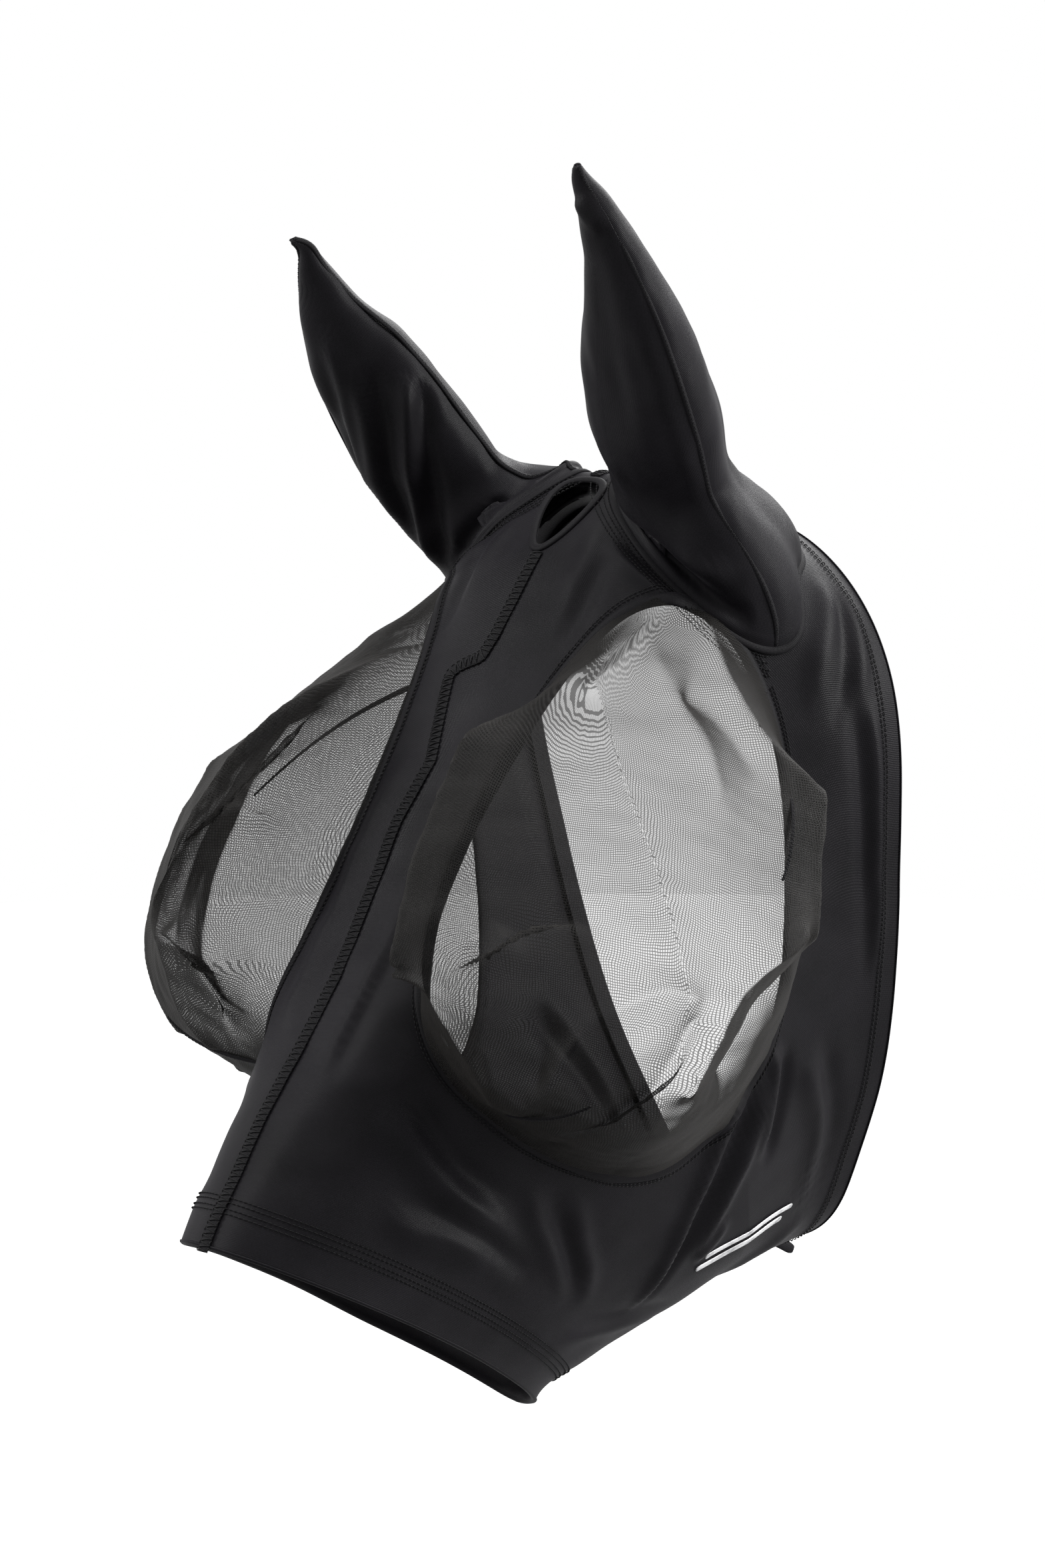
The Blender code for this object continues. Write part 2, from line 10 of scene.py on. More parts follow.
import bmesh
import bpy
import numpy as np
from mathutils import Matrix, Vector


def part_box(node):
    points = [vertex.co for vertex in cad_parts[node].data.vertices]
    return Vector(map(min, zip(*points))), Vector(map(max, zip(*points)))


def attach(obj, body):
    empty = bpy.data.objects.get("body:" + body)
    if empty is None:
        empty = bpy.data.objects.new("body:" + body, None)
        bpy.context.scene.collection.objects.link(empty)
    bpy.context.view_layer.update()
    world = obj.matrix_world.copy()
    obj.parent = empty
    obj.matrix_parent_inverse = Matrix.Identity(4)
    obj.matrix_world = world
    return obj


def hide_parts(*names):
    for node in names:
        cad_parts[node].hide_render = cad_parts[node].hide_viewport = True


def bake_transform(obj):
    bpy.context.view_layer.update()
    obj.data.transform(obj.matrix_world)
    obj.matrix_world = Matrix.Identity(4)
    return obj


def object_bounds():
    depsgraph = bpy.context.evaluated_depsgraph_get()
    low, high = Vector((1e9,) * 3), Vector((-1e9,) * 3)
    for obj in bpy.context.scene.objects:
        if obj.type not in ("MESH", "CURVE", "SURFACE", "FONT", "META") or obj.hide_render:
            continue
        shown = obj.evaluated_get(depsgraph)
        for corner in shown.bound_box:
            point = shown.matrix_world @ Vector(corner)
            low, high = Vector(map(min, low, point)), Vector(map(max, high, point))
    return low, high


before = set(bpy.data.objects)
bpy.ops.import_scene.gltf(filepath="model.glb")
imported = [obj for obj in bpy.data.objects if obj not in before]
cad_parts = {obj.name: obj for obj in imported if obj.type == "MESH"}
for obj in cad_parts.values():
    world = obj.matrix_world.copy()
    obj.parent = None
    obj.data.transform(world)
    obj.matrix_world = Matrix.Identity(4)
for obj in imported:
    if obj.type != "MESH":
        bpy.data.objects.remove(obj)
CAD_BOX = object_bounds()
PI = math.pi

# ---- the surface, as in the CAD model ----

HUB_Y = 0.175
HUB_Z = -0.575
NOSE_ANGLE = math.radians(152.4)
NECK_ANGLE = math.radians(99.2)
TOP_SQUARE = 0.92
SECTIONS = np.array(
    [
        (0.476, 0.239, 0.06, 0.1, 1.0),
        (0.473, 0.221, 0.066, 0.12, 0.95),
        (0.474, 0.207, 0.074, 0.15, 0.91),
        (0.479, 0.196, 0.084, 0.18, 0.85),
        (0.487, 0.188, 0.093, 0.2, 0.82),
        (0.501, 0.182, 0.102, 0.22, 0.8),
        (0.52, 0.177, 0.109, 0.21, 0.77),
        (0.546, 0.173, 0.113, 0.19, 0.76),
        (0.578, 0.169, 0.115, 0.16, 0.76),
        (0.595, 0.167, 0.117, 0.14, 0.78),
        (0.57, 0.166, 0.118, 0.13, 0.8),
    ]
)
EYE_CENTRE = (0.558, 1.02)
EYE_HALF = (0.285, 0.78)
EYE_POWER = 2.4
EYE_BULGE = np.array((0.088, -0.062, -0.034))
EYE_ROUND = 0.85
EYE_RIM = 0.94
FAR_DOME = 0.92
EYE_BAGS = [
    ((-0.04, -0.075, 0.03), (0.0, -0.8), (1.1, 0.35)),
    ((0.026, 0.026, 0.008), (0.65, 0.2), (0.5, 0.5)),
]
EAR_CENTRE = (0.89, 0.515)
EAR_HALF = (0.07, 0.43)
EAR_BLEND = 0.15
EAR_SHARES = (0.0, 0.2, 0.35, 0.5, 0.65, 0.78, 0.9, 0.98, 1.0)
# Half width, half depth and sideways shift of each ear at those shares of its length, in millimetres.
EAR_SHAPES = {
    "left": (
        (50.0, 38.8, 44.2, 39.6, 29.8, 18.4, 9.8, 3.4, 1.2),
        (34.0, 25.0, 28.0, 24.0, 18.0, 12.0, 7.5, 2.8, 1.0),
        (0.0, -14.6, -11.2, -5.6, 1.8, 5.7, 4.0, -3.0, 0.0),
    ),
    "right": (
        (50.0, 38.0, 37.4, 34.7, 29.3, 17.8, 8.3, 2.6, 1.2),
        (34.0, 23.0, 24.0, 21.0, 18.0, 12.0, 6.6, 2.4, 1.0),
        (0.0, 17.0, 16.7, 13.3, 10.8, 8.5, 1.3, -7.0, 0.0),
    ),
}
EAR_TIPS = {"left": np.array((0.092, -0.091, 0.1566)), "right": np.array((0.116, -0.084, 0.1165))}
FORELOCK_CENTRE = 0.833
FORELOCK_HALF = (0.042, 0.088)
NOSE_HEM = 0.026
NECK_HEM = 0.014
LYCRA = 0.0008


def signed_power(value, power):
    return np.sign(value) * np.abs(value) ** power


def unit(v):
    return v / np.maximum(np.linalg.norm(v, axis=-1, keepdims=True), 1e-12)


def cubic(rows, place):
    """Rows of a table read at places between them, along smooth curves."""
    last = len(rows) - 1
    i = np.clip(place.astype(int), 0, last - 1)
    t = (place - i)[..., None]
    a, b, c, d = (rows[np.clip(i + k, 0, last)] for k in (-1, 0, 1, 2))
    row = 2 * b + (c - a) * t + (2 * a - 5 * b + 4 * c - d) * t**2 + (3 * b - a - 3 * c + d) * t**3
    return row / 2


def smooth_step(share):
    """From 0 to 1, without a corner at either end."""
    share = np.clip(share, 0, 1)
    return share * share * (3 - 2 * share)


def bell(away, width):
    return np.exp(-((away / width) ** 2))


def eye_spot(rho, turn):
    """Dome coordinates at a turn round the eye opening, rho 1 on its outline."""
    power = 2 / EYE_POWER
    return rho * signed_power(np.cos(turn), power), rho * signed_power(np.sin(turn), power)


def eye_place(a, b, side=1):
    """s and theta at dome coordinates."""
    return EYE_CENTRE[0] + a * EYE_HALF[0], (EYE_CENTRE[1] + b * EYE_HALF[1]) * side


def eye_radius(a, b):
    """Distance from the middle of an eye opening, 1 on its outline."""
    return (np.abs(a) ** EYE_POWER + np.abs(b) ** EYE_POWER) ** (1 / EYE_POWER)


def section(s):
    place = np.clip(s, -0.03, 1) * (len(SECTIONS) - 1)
    return np.moveaxis(cubic(SECTIONS, place), -1, 0)


def pair(s, theta):
    return np.broadcast_arrays(np.asarray(s, float), np.asarray(theta, float))


def bare_skin(s, theta):
    s, theta = pair(s, theta)
    face, jaw, width, skew, square = section(s)
    angle = NOSE_ANGLE + (NECK_ANGLE - NOSE_ANGLE) * s
    reach = (face + jaw) / 2 + (face - jaw) / 2 * signed_power(np.cos(theta), TOP_SQUARE)
    x = width * signed_power(np.sin(theta), square) * (1 + skew * np.cos(theta)) / (1 + 0.35 * skew)
    return np.stack((x, HUB_Y + reach * np.cos(angle), HUB_Z + reach * np.sin(angle)), -1)


def outward(s, theta):
    s, theta = pair(s, theta)
    step = 0.012
    high = np.where(s > 1 - step, 1.0, s + step)
    low = np.where(s > 1 - step, 1 - step, s - step)
    along = bare_skin(high, theta) - bare_skin(low, theta)
    around = bare_skin(s, theta + 3 * step) - bare_skin(s, theta - 3 * step)
    return unit(np.cross(around, along))


# The nose edge isn't quite square to the face: s of the edge at each theta.
EDGE_THETA = (-3.14, -2.4, -1.6, -1.0, -0.6, 0.0, 1.6, 2.4, 3.14)
EDGE_S = (-0.028, 0.012, 0.026, 0.014, 0.0, -0.004, -0.004, -0.018, -0.028)


def rounded(row, reach, **edge):
    """A row of values with its corners rounded off."""
    kernel = np.hanning(2 * reach + 1)
    return np.convolve(np.pad(row, reach, **edge), kernel / kernel.sum(), "valid")


def nose_edge(theta):
    fine = np.linspace(-PI, PI, 200)
    row = rounded(np.interp(fine, EDGE_THETA, EDGE_S), 12, mode="wrap")
    return np.interp((np.asarray(theta) + PI) % (2 * PI) - PI, fine, row)


# ---- folds ----


def path(points, count=48):
    """Evenly many points along a smooth line through a few."""
    return cubic(np.asarray(points, float), np.linspace(0, len(points) - 1, count))


def fold_lift(where, line, height, width, ends):
    """Height that one fold adds at each point: a ridge along a line of points, fading at its ends.

    height and width are in tenths of a millimetre.
    """
    height, width = height / 10000, width / 10000
    total = np.zeros(len(where))
    low, high = line.min(0) - 4 * width, line.max(0) + 4 * width
    near = np.all((where > low) & (where < high), axis=1)
    if not near.any():
        return total
    away = np.linalg.norm(where[near][:, None] - line[None], axis=2)
    t = away.argmin(1) / (len(line) - 1)
    total[near] = height * bell(away.min(1), width) * smooth_step(np.minimum(t, 1 - t) / ends)
    return total


def ripple(where, length, seed, stretch=(1, 1, 1)):
    """A smooth field of bumps about this long, between -1 and 1, the same every run."""
    random = np.random.default_rng(seed)
    total = np.zeros(len(where))
    for _ in range(14):
        way = unit(random.normal(size=3)) * random.uniform(0.6, 1.5) * np.array(stretch)
        total += np.cos(where @ way * (2 * PI / length) + random.uniform(0, 2 * PI))
    return total / 5


# Folds of the lycra: side, height and width in tenths of a millimetre, how fast the ends fade, and
# points, s in thousandths and theta in hundredths.
FOLD_UNITS = (1000, 100)
LYCRA_FOLDS = [
    ("both", -50, 75, 0.35, [(250, 60), (228, 80), (206, 108), (212, 140)]),
    ("both", 38, 85, 0.35, [(230, 55), (190, 85), (170, 112), (180, 145)]),
    ("left", 30, 80, 0.4, [(130, 80), (104, 106), (124, 131), (116, 173)]),
    ("left", -24, 60, 0.4, [(150, 95), (140, 120), (150, 145), (140, 170)]),
    ("left", 24, 60, 0.4, [(170, 105), (168, 135), (158, 161)]),
    ("both", 22, 60, 0.35, [(250, 136), (220, 148), (194, 164), (146, 192)]),
    ("both", -24, 50, 0.35, [(270, 145), (235, 160), (205, 176), (160, 198)]),
    ("both", 22, 60, 0.35, [(290, 152), (250, 168), (220, 185), (170, 205)]),
    ("left", 42, 55, 0.25, [(650, 170), (560, 184), (468, 199), (350, 218), (226, 238)]),
    ("left", -40, 50, 0.25, [(670, 176), (590, 190), (500, 204), (380, 223), (250, 242)]),
    ("left", 34, 50, 0.25, [(690, 180), (620, 196), (540, 210), (420, 230)]),
    ("right", 38, 60, 0.3, [(600, 172), (520, 186), (420, 202), (300, 225)]),
    ("right", -32, 52, 0.3, [(640, 178), (550, 194), (450, 210), (330, 232)]),
    ("left", 38, 48, 0.3, [(720, 176), (702, 183), (665, 195), (628, 208)]),
    ("left", -30, 45, 0.3, [(745, 180), (725, 188), (690, 200), (650, 214)]),
    ("left", 26, 45, 0.3, [(530, 220), (506, 226), (460, 231), (418, 234)]),
    ("both", 34, 90, 0.35, [(780, 188), (800, 200), (834, 224), (812, 258)]),
    ("both", -30, 75, 0.35, [(820, 185), (845, 200), (870, 222), (850, 255)]),
    ("left", 30, 50, 0.3, [(955, 110), (957, 128), (955, 152), (948, 180)]),
    ("both", -22, 55, 0.3, [(940, 105), (940, 128), (938, 152), (930, 180)]),
    ("both", 24, 60, 0.35, [(950, 74), (942, 86), (916, 100), (884, 116)]),
    ("both", -22, 50, 0.35, [(960, 78), (955, 90), (936, 106), (905, 122)]),
    ("both", 22, 60, 0.35, [(975, 70), (972, 84), (958, 100), (936, 120)]),
    ("both", -30, 55, 0.3, [(822, 22), (815, 36), (818, 52), (832, 80)]),
    ("both", 26, 50, 0.3, [(812, 20), (804, 36), (806, 52), (818, 84)]),
    ("both", 24, 60, 0.35, [(830, 13), (798, 17), (774, 18), (736, 20)]),
    ("both", -22, 60, 0.35, [(800, 24), (770, 25), (736, 25), (700, 24)]),
    ("left", 26, 70, 0.25, [(640, 9), (546, 12), (440, 14), (330, 17), (184, 20)]),
    ("right", 24, 80, 0.25, [(600, 10), (500, 14), (380, 16), (250, 20)]),
    ("left", -18, 55, 0.3, [(500, 17), (400, 19), (300, 22), (200, 26)]),
    ("right", 26, 80, 0.35, [(160, 70), (130, 100), (140, 135), (120, 170)]),
    ("right", -24, 65, 0.35, [(185, 85), (160, 110), (165, 140), (150, 170)]),
    ("both", 20, 60, 0.35, [(80, 205), (160, 230), (260, 255), (340, 280)]),
    ("both", -20, 55, 0.35, [(110, 202), (190, 226), (290, 250), (370, 274)]),
    ("both", 22, 70, 0.35, [(860, 262), (760, 274), (660, 282), (560, 288)]),
]
# The face seam: s and theta, both in thousandths.
SEAM_PLACES = [(0, 20), (52, 10), (148, -20), (232, -10), (330, 0), (450, -20), (510, -30)]
SEAM_PLACES += [(578, -12), (640, -60), (668, -85), (676, -60), (686, -5), (708, 0), (787, 4)]


# Broad swells: height in metres, the s where each starts and is full, middle and width in theta.
MIRRORED_SWELLS = {
    "neck flare": (0.02, 0.8, 1.0, 1.0, 0.5),
    "throat": (-0.005, 0.6, 0.8, 2.35, 0.3),
}
MIDLINE_SWELLS = {
    "crown sag": (-0.016, 0.885, 0.945, 0.0, 0.32),
    "nose bridge": (0.0045, 0.24, 0.04, -0.1, 0.55),
}
ROUNDED_SWELLS = ("neck flare", "crown sag")


def swells(s, theta, table):
    """Height that the broad swells of one table add at each point."""
    total = np.zeros(s.shape)
    for name, (height, start, full, middle, width) in table.items():
        share = (s - start) / (full - start)
        share = smooth_step(share) if name in ROUNDED_SWELLS else np.clip(share, 0, 1)
        total += height * share * bell(theta - middle, width)
    return total


def relief(s, theta):
    """How far the worn lycra stands above the smooth surface at each point."""
    s, theta = pair(s, theta)
    shape = s.shape
    s = s.ravel()
    theta = (theta.ravel() + PI) % (2 * PI) - PI
    where = bare_skin(s, theta)
    lift = np.zeros(len(s))
    for side, sign in (("left", 1), ("right", -1)):
        mine = theta * sign > -0.25
        part = np.zeros(mine.sum())
        for which, height, width, ends, points in LYCRA_FOLDS:
            if which in (side, "both"):
                line = path(np.array(points) / FOLD_UNITS)
                part += fold_lift(where[mine], bare_skin(line[:, 0], line[:, 1] * sign), height, width, ends)
        lift[mine] += part * np.clip((theta[mine] * sign + 0.25) / 0.3, 0, 1)
    slack = 0.3 + 0.7 * bell(s - 0.35, 0.35)
    lift += 0.0011 * slack * ripple(where, 0.075, 3)
    lift += 0.0004 * slack * ripple(where, 0.03, 5, (1.0, 0.6, 1.4))
    edge = np.minimum((s + 0.012) / 0.06, (1 - s) / 0.04)
    lift *= np.clip(0.25 + 0.75 * edge, 0.25, 1)
    lift += swells(s, np.abs(theta), MIRRORED_SWELLS) + swells(s, theta, MIDLINE_SWELLS)
    return lift.reshape(shape)


def skin(s, theta, lift=0.0):
    """A point of the worn lycra, at a height above it."""
    s, theta = pair(s, theta)
    total = relief(s, theta) + lift
    return bare_skin(s, theta) + outward(s, theta) * total[..., None]


# ---- meshes ----


def new_object(name, mesh, material):
    mesh.shade_smooth()
    mesh.materials.append(material)
    made = bpy.data.objects.new(name, mesh)
    bpy.context.scene.collection.objects.link(made)
    return made


def grid_faces(rows, columns, closed=False):
    i, j = np.meshgrid(np.arange(rows - 1), np.arange(columns if closed else columns - 1), indexing="ij")
    k = (j + 1) % columns
    quads = np.stack((i * columns + j, i * columns + k, (i + 1) * columns + k, (i + 1) * columns + j), -1)
    return quads.reshape(-1, 4)


def fit(piece, node_name=None, ear=None):
    """Put a piece on the hood, or for an ear bake its placement into its mesh, and hide the CAD node it
    stands for.
    """
    if ear:
        join_ear(piece, ear)
    else:
        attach(piece, "hood")
    if node_name:
        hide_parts(node_name)


def side_name(side):
    return "left" if side > 0 else "right"


def add_uv(mesh, uv):
    """Cloth coordinates in metres, one pair for each vertex."""
    layer = mesh.uv_layers.new(name="cloth")
    corner = np.zeros(len(mesh.loops), np.int32)
    mesh.loops.foreach_get("vertex_index", corner)
    layer.data.foreach_set("uv", np.asarray(uv, np.float32)[corner].ravel())


def cloth_uv(points):
    """Lengths along both ways of a grid of points."""
    down = np.linalg.norm(np.diff(points, axis=0), axis=2)
    across = np.linalg.norm(np.diff(points, axis=1), axis=2)
    u = np.zeros(points.shape[:2])
    v = np.zeros(points.shape[:2])
    u[1:] = np.cumsum(down, axis=0)
    v[:, 1:] = np.cumsum(across, axis=1)
    return np.stack((v - v.mean(1, keepdims=True), u), -1).reshape(-1, 2)


def smooth_line(line, rounds=6):
    """A line of points with its small steps taken out."""
    line = line.copy()
    for _ in range(rounds):
        line[1:-1] = (line[:-2] + 2 * line[1:-1] + line[2:]) / 4
    return line


def sheet_mesh(name, points, material, closed=False, uv=None):
    """A sheet through a grid of points, with cloth coordinates."""
    rows, columns = points.shape[:2]
    mesh = bpy.data.meshes.new(name)
    mesh.from_pydata(points.reshape(-1, 3).tolist(), [], grid_faces(rows, columns, closed).tolist())
    add_uv(mesh, cloth_uv(points) if uv is None else uv)
    return new_object(name, mesh, material)


def thicken(piece, thickness, offset=-1.0):
    shell = piece.modifiers.new("thickness", "SOLIDIFY")
    shell.thickness = thickness
    shell.offset = offset


def frames(line, normals, closed):
    """Directions along, up and across at each point of a line."""
    if closed:
        along = np.roll(line, -1, axis=0) - np.roll(line, 1, axis=0)
    else:
        along = np.gradient(line, axis=0)
    along = unit(along)
    up = unit(normals - along * np.sum(normals * along, axis=1, keepdims=True))
    return along, up, np.cross(along, up)


def sweep(name, line, normals, half_width, half_height, material=None, closed=False, sides=12, power=1.0):
    """A band with an oval section along a line, wide along the surface and low above it.

    It is of the trim's lycra unless another material is given.
    """
    _, up, across = frames(line, normals, closed)
    turn = np.arange(sides) / sides * 2 * PI
    wide = np.broadcast_to(half_width, len(line))
    high = np.broadcast_to(half_height, len(line))
    x = signed_power(np.cos(turn), power)[None] * wide[:, None]
    y = signed_power(np.sin(turn), power)[None] * high[:, None]
    points = line[:, None] + across[:, None] * x[..., None] + up[:, None] * y[..., None]
    count = len(line)
    faces = grid_faces(count, sides, True).tolist()
    if closed:
        last = (count - 1) * sides
        faces += [(last + j, last + (j + 1) % sides, (j + 1) % sides, j) for j in range(sides)]
    else:
        faces.append(list(range(sides))[::-1])
        faces.append([(count - 1) * sides + j for j in range(sides)])
    mesh = bpy.data.meshes.new(name)
    mesh.from_pydata(points.reshape(-1, 3).tolist(), [], faces)
    u = np.zeros(count)
    u[1:] = np.cumsum(np.linalg.norm(np.diff(line, axis=0), axis=1))
    uv = np.stack((np.broadcast_to(u[:, None], x.shape), np.broadcast_to(turn * 0.003, x.shape)), -1)
    add_uv(mesh, uv.reshape(-1, 2))
    shape = bmesh.new()
    shape.from_mesh(mesh)
    bmesh.ops.recalc_face_normals(shape, faces=shape.faces)
    shape.to_mesh(mesh)
    shape.free()
    return new_object(name, mesh, material or TRIM_LOOK)


def stitch(name, rows, radius, node_name=None, ear=None):
    """Many short threads as one mesh. Each row is a line of points and an up direction."""
    sides = 5
    turn = np.arange(sides) / sides * 2 * PI
    points = []
    faces = []
    start = 0
    for line, up in rows:
        _, high, across = frames(line, np.broadcast_to(up, line.shape), False)
        taper = np.full(len(line), radius)
        taper[0] = taper[-1] = radius * 0.55
        round_it = across[:, None] * np.cos(turn)[:, None] + high[:, None] * np.sin(turn)[:, None]
        points.append((line[:, None] + round_it * taper[:, None, None]).reshape(-1, 3))
        faces.append(grid_faces(len(line), sides, True) + start)
        start += len(line) * sides
    mesh = bpy.data.meshes.new(name)
    mesh.from_pydata(np.concatenate(points).tolist(), [], np.concatenate(faces).tolist())
    fit(new_object(name, mesh, THREAD_LOOK), node_name, ear)


def resample(line, step):
    """Points a fixed step apart along a line."""
    length = np.concatenate(([0], np.cumsum(np.linalg.norm(np.diff(line[:, :3], axis=0), axis=1))))
    count = max(2, int(round(length[-1] / step)) + 1)
    place = np.linspace(0, length[-1], count)
    return np.stack([np.interp(place, length, line[:, k]) for k in range(line.shape[1])], -1)


ARCH = np.array((0.0, 0.3, 0.5, 0.7, 1.0))
ARCH_RISE = np.array((-0.45, 0.8, 1.0, 0.8, -0.45))
STITCH_GAP = 0.22


def arch(a, b, up, rise):
    """One stitch from a to b, bowed up out of the cloth, and its up direction."""
    return a + (b - a) * ARCH[:, None] + up * (ARCH_RISE * rise)[:, None], up


def running(line, normals, pitch, rise):
    """A row of running stitches along a line of points."""
    both = resample(np.hstack((line, normals)), pitch)
    rows = []
    for a, b in zip(both[:-1], both[1:]):
        end = a[:3] + (b[:3] - a[:3]) * (1 - STITCH_GAP)
        rows.append(arch(a[:3], end, unit(a[3:] + b[3:]), rise))
    return rows


def zigzag(line, normals, width, pitch, rise):
    """Stitches that cross from side to side of a line."""
    both = resample(np.hstack((line, normals)), pitch)
    _, up, across = frames(both[:, :3], both[:, 3:], False)
    rows = []
    for i in range(len(both) - 1):
        a = both[i, :3] + across[i] * width / 2
        b = both[i, :3] * 0.5 + both[i + 1, :3] * 0.5 - across[i] * width / 2
        c = both[i + 1, :3] + across[i + 1] * width / 2
        rows += [arch(a, b, up[i], rise), arch(b, c, up[i], rise)]
    return rows


# ---- materials ----


class Look:
    """A material made of nodes. Sockets take a value or the output of another node."""

    def __init__(self, name):
        self.material = bpy.data.materials.new(name)
        self.material.use_nodes = True
        self.tree = self.material.node_tree
        self.surface = self.tree.nodes["Principled BSDF"]
        self.place = self.node("TexCoord").outputs["Object"]

    def put(self, socket, value):
        if isinstance(value, bpy.types.NodeSocket):
            self.tree.links.new(value, socket)
        else:
            socket.default_value = value

    def node(self, kind, *values, **named):
        made = self.tree.nodes.new("ShaderNode" + kind)
        for k, value in enumerate(values):
            self.put(made.inputs[k], value)
        for name, value in named.items():
            if name in made.inputs:
                self.put(made.inputs[name], value)
            else:
                setattr(made, name, value)
        return made

    def calc(self, operation, a, b=0.0):
        return self.node("Math", a, b, operation=operation).outputs[0]

    def texture(self, kind, **values):
        """A texture fixed to the object."""
        return self.node(kind, Vector=self.place, **values).outputs[0]

    def two_tone(self, factor, low, high, places=(0.0, 1.0)):
        """A base colour that runs between two tones."""
        ramp = self.node("ValToRGB", factor)
        for stop, place, colour in zip(ramp.color_ramp.elements, places, (low, high)):
            stop.position = place
            stop.color = (*colour, 1)
        self.put(self.surface.inputs["Base Color"], ramp.outputs[0])

    def bumps(self, height, strength, distance):
        made = self.node("Bump", Strength=strength, Distance=distance, Height=height)
        self.put(self.surface.inputs["Normal"], made.outputs[0])

    def finish(self, values):
        for name, value in values.items():
            self.put(self.surface.inputs[name], value)


def knit(name, dark, light, roughness=0.42, pitch=0.0007, bump=0.25):
    """Stretch knit: fine ribs, a satin sheen and slow changes of tone."""
    look = Look(name)
    calc = look.calc
    split = look.node("SeparateXYZ", look.node("UVMap", uv_map="cloth").outputs[0])
    ribs = calc("SINE", calc("MULTIPLY", split.outputs[0], 2 * PI / pitch))
    courses = calc("SINE", calc("MULTIPLY", split.outputs[1], 2 * PI / (pitch * 1.3)))
    weave = calc("ADD", ribs, calc("MULTIPLY", courses, 0.5))
    slow = look.texture("TexNoise", Scale=14.0, Detail=4.0, Roughness=0.6)
    grain = look.texture("TexNoise", Scale=1400.0, Detail=2.0)
    look.two_tone(calc("ADD", slow, calc("MULTIPLY", grain, 0.5)), dark, light, (0.5, 0.95))
    rough = calc("ADD", calc("MULTIPLY", slow, 0.16), roughness - 0.08)
    look.finish({"Roughness": rough, "Specular IOR Level": 0.1, "Sheen Weight": 0.03})
    look.finish({"Sheen Roughness": 0.38, "Sheen Tint": (0.86, 0.83, 0.92, 1)})
    look.bumps(calc("ADD", calc("MULTIPLY", weave, 0.4), grain), bump, 0.0004)
    return look.material


NET_ANGLES = (28, 118)
NET_DRIFT = (0.0024, 0.0024, 0.0)
NET_FUZZ = 0.45


def net(name, colour, pitch, cover):
    """See-through net: two crossing sets of fine yarns, a little uneven, with holes between them.

    cover is a yarn's share of the pitch. Seen at a slant the yarns stand closer together, so the
    holes close up. A share of the cover, NET_FUZZ, is spread evenly for the yarns' fuzz.
    """
    look = Look(name)
    calc = look.calc
    uv = look.node("UVMap", uv_map="cloth").outputs[0]
    drift = look.node("TexNoise", Vector=uv, Scale=90.0, Detail=1.0).outputs["Color"]
    centred = look.node("VectorMath", drift, (0.5, 0.5, 0.5), operation="SUBTRACT").outputs[0]
    moved = look.node("VectorMath", centred, NET_DRIFT, uv, operation="MULTIPLY_ADD")
    split = look.node("SeparateXYZ", moved.outputs[0])
    facing = look.node("LayerWeight", Blend=0.5).outputs["Facing"]
    straight = calc("MAXIMUM", calc("SUBTRACT", 1.0, facing), 0.2)
    slant = calc("MINIMUM", calc("DIVIDE", cover * PI, straight), PI)
    sets = []
    for turn in np.radians(NET_ANGLES):
        x = calc("MULTIPLY", split.outputs[0], math.cos(turn) * 2 * PI / pitch)
        y = calc("MULTIPLY", split.outputs[1], math.sin(turn) * 2 * PI / pitch)
        sets.append(calc("COSINE", calc("ADD", x, y)))
    strongest = calc("MAXIMUM", *sets)
    yarn = calc("GREATER_THAN", strongest, calc("COSINE", slant))
    slow = look.texture("TexNoise", Scale=22.0, Detail=3.0)
    look.two_tone(slow, [c * 0.75 for c in colour], [c * 1.35 for c in colour], (0.35, 0.7))
    look.finish({"Roughness": 0.5, "Specular IOR Level": 0.1, "Sheen Weight": 0.04})
    look.finish({"Sheen Roughness": 0.4, "Sheen Tint": (0.95, 0.9, 0.86, 1)})
    look.bumps(strongest, 0.35, 0.0003)
    share = calc("DIVIDE", slant, PI)
    covered = calc("SUBTRACT", calc("MULTIPLY", share, 2.0), calc("MULTIPLY", share, share))
    fuzz = calc("MULTIPLY", covered, NET_FUZZ)
    look.finish({"Alpha": calc("ADD", calc("MULTIPLY", yarn, 1 - NET_FUZZ), fuzz)})
    return look.material


def yarn_look(name, colour):
    """Twisted thread: fine diagonal ply marks."""
    look = Look(name)
    ply = look.texture("TexWave", Scale=900.0, Distortion=2.0, Detail=1.0)
    look.two_tone(ply, [c * 0.7 for c in colour], [c * 1.5 for c in colour])
    look.finish({"Roughness": 0.5, "Specular IOR Level": 0.12, "Sheen Weight": 0.03})
    look.bumps(ply, 0.4, 0.0002)
    return look.material


def silver_film(name):
    """Plain reflective film: small glass beads over grey, a little worn."""
    look = Look(name)
    wear = look.texture("TexNoise", Scale=160.0, Detail=3.0)
    look.two_tone(wear, (0.42, 0.42, 0.43), (0.9, 0.9, 0.91), (0.3, 0.55))
    look.finish({"Roughness": 0.38, "Metallic": 0.25})
    look.bumps(look.texture("TexVoronoi", Scale=1600.0), 0.3, 0.0002)
    return look.material


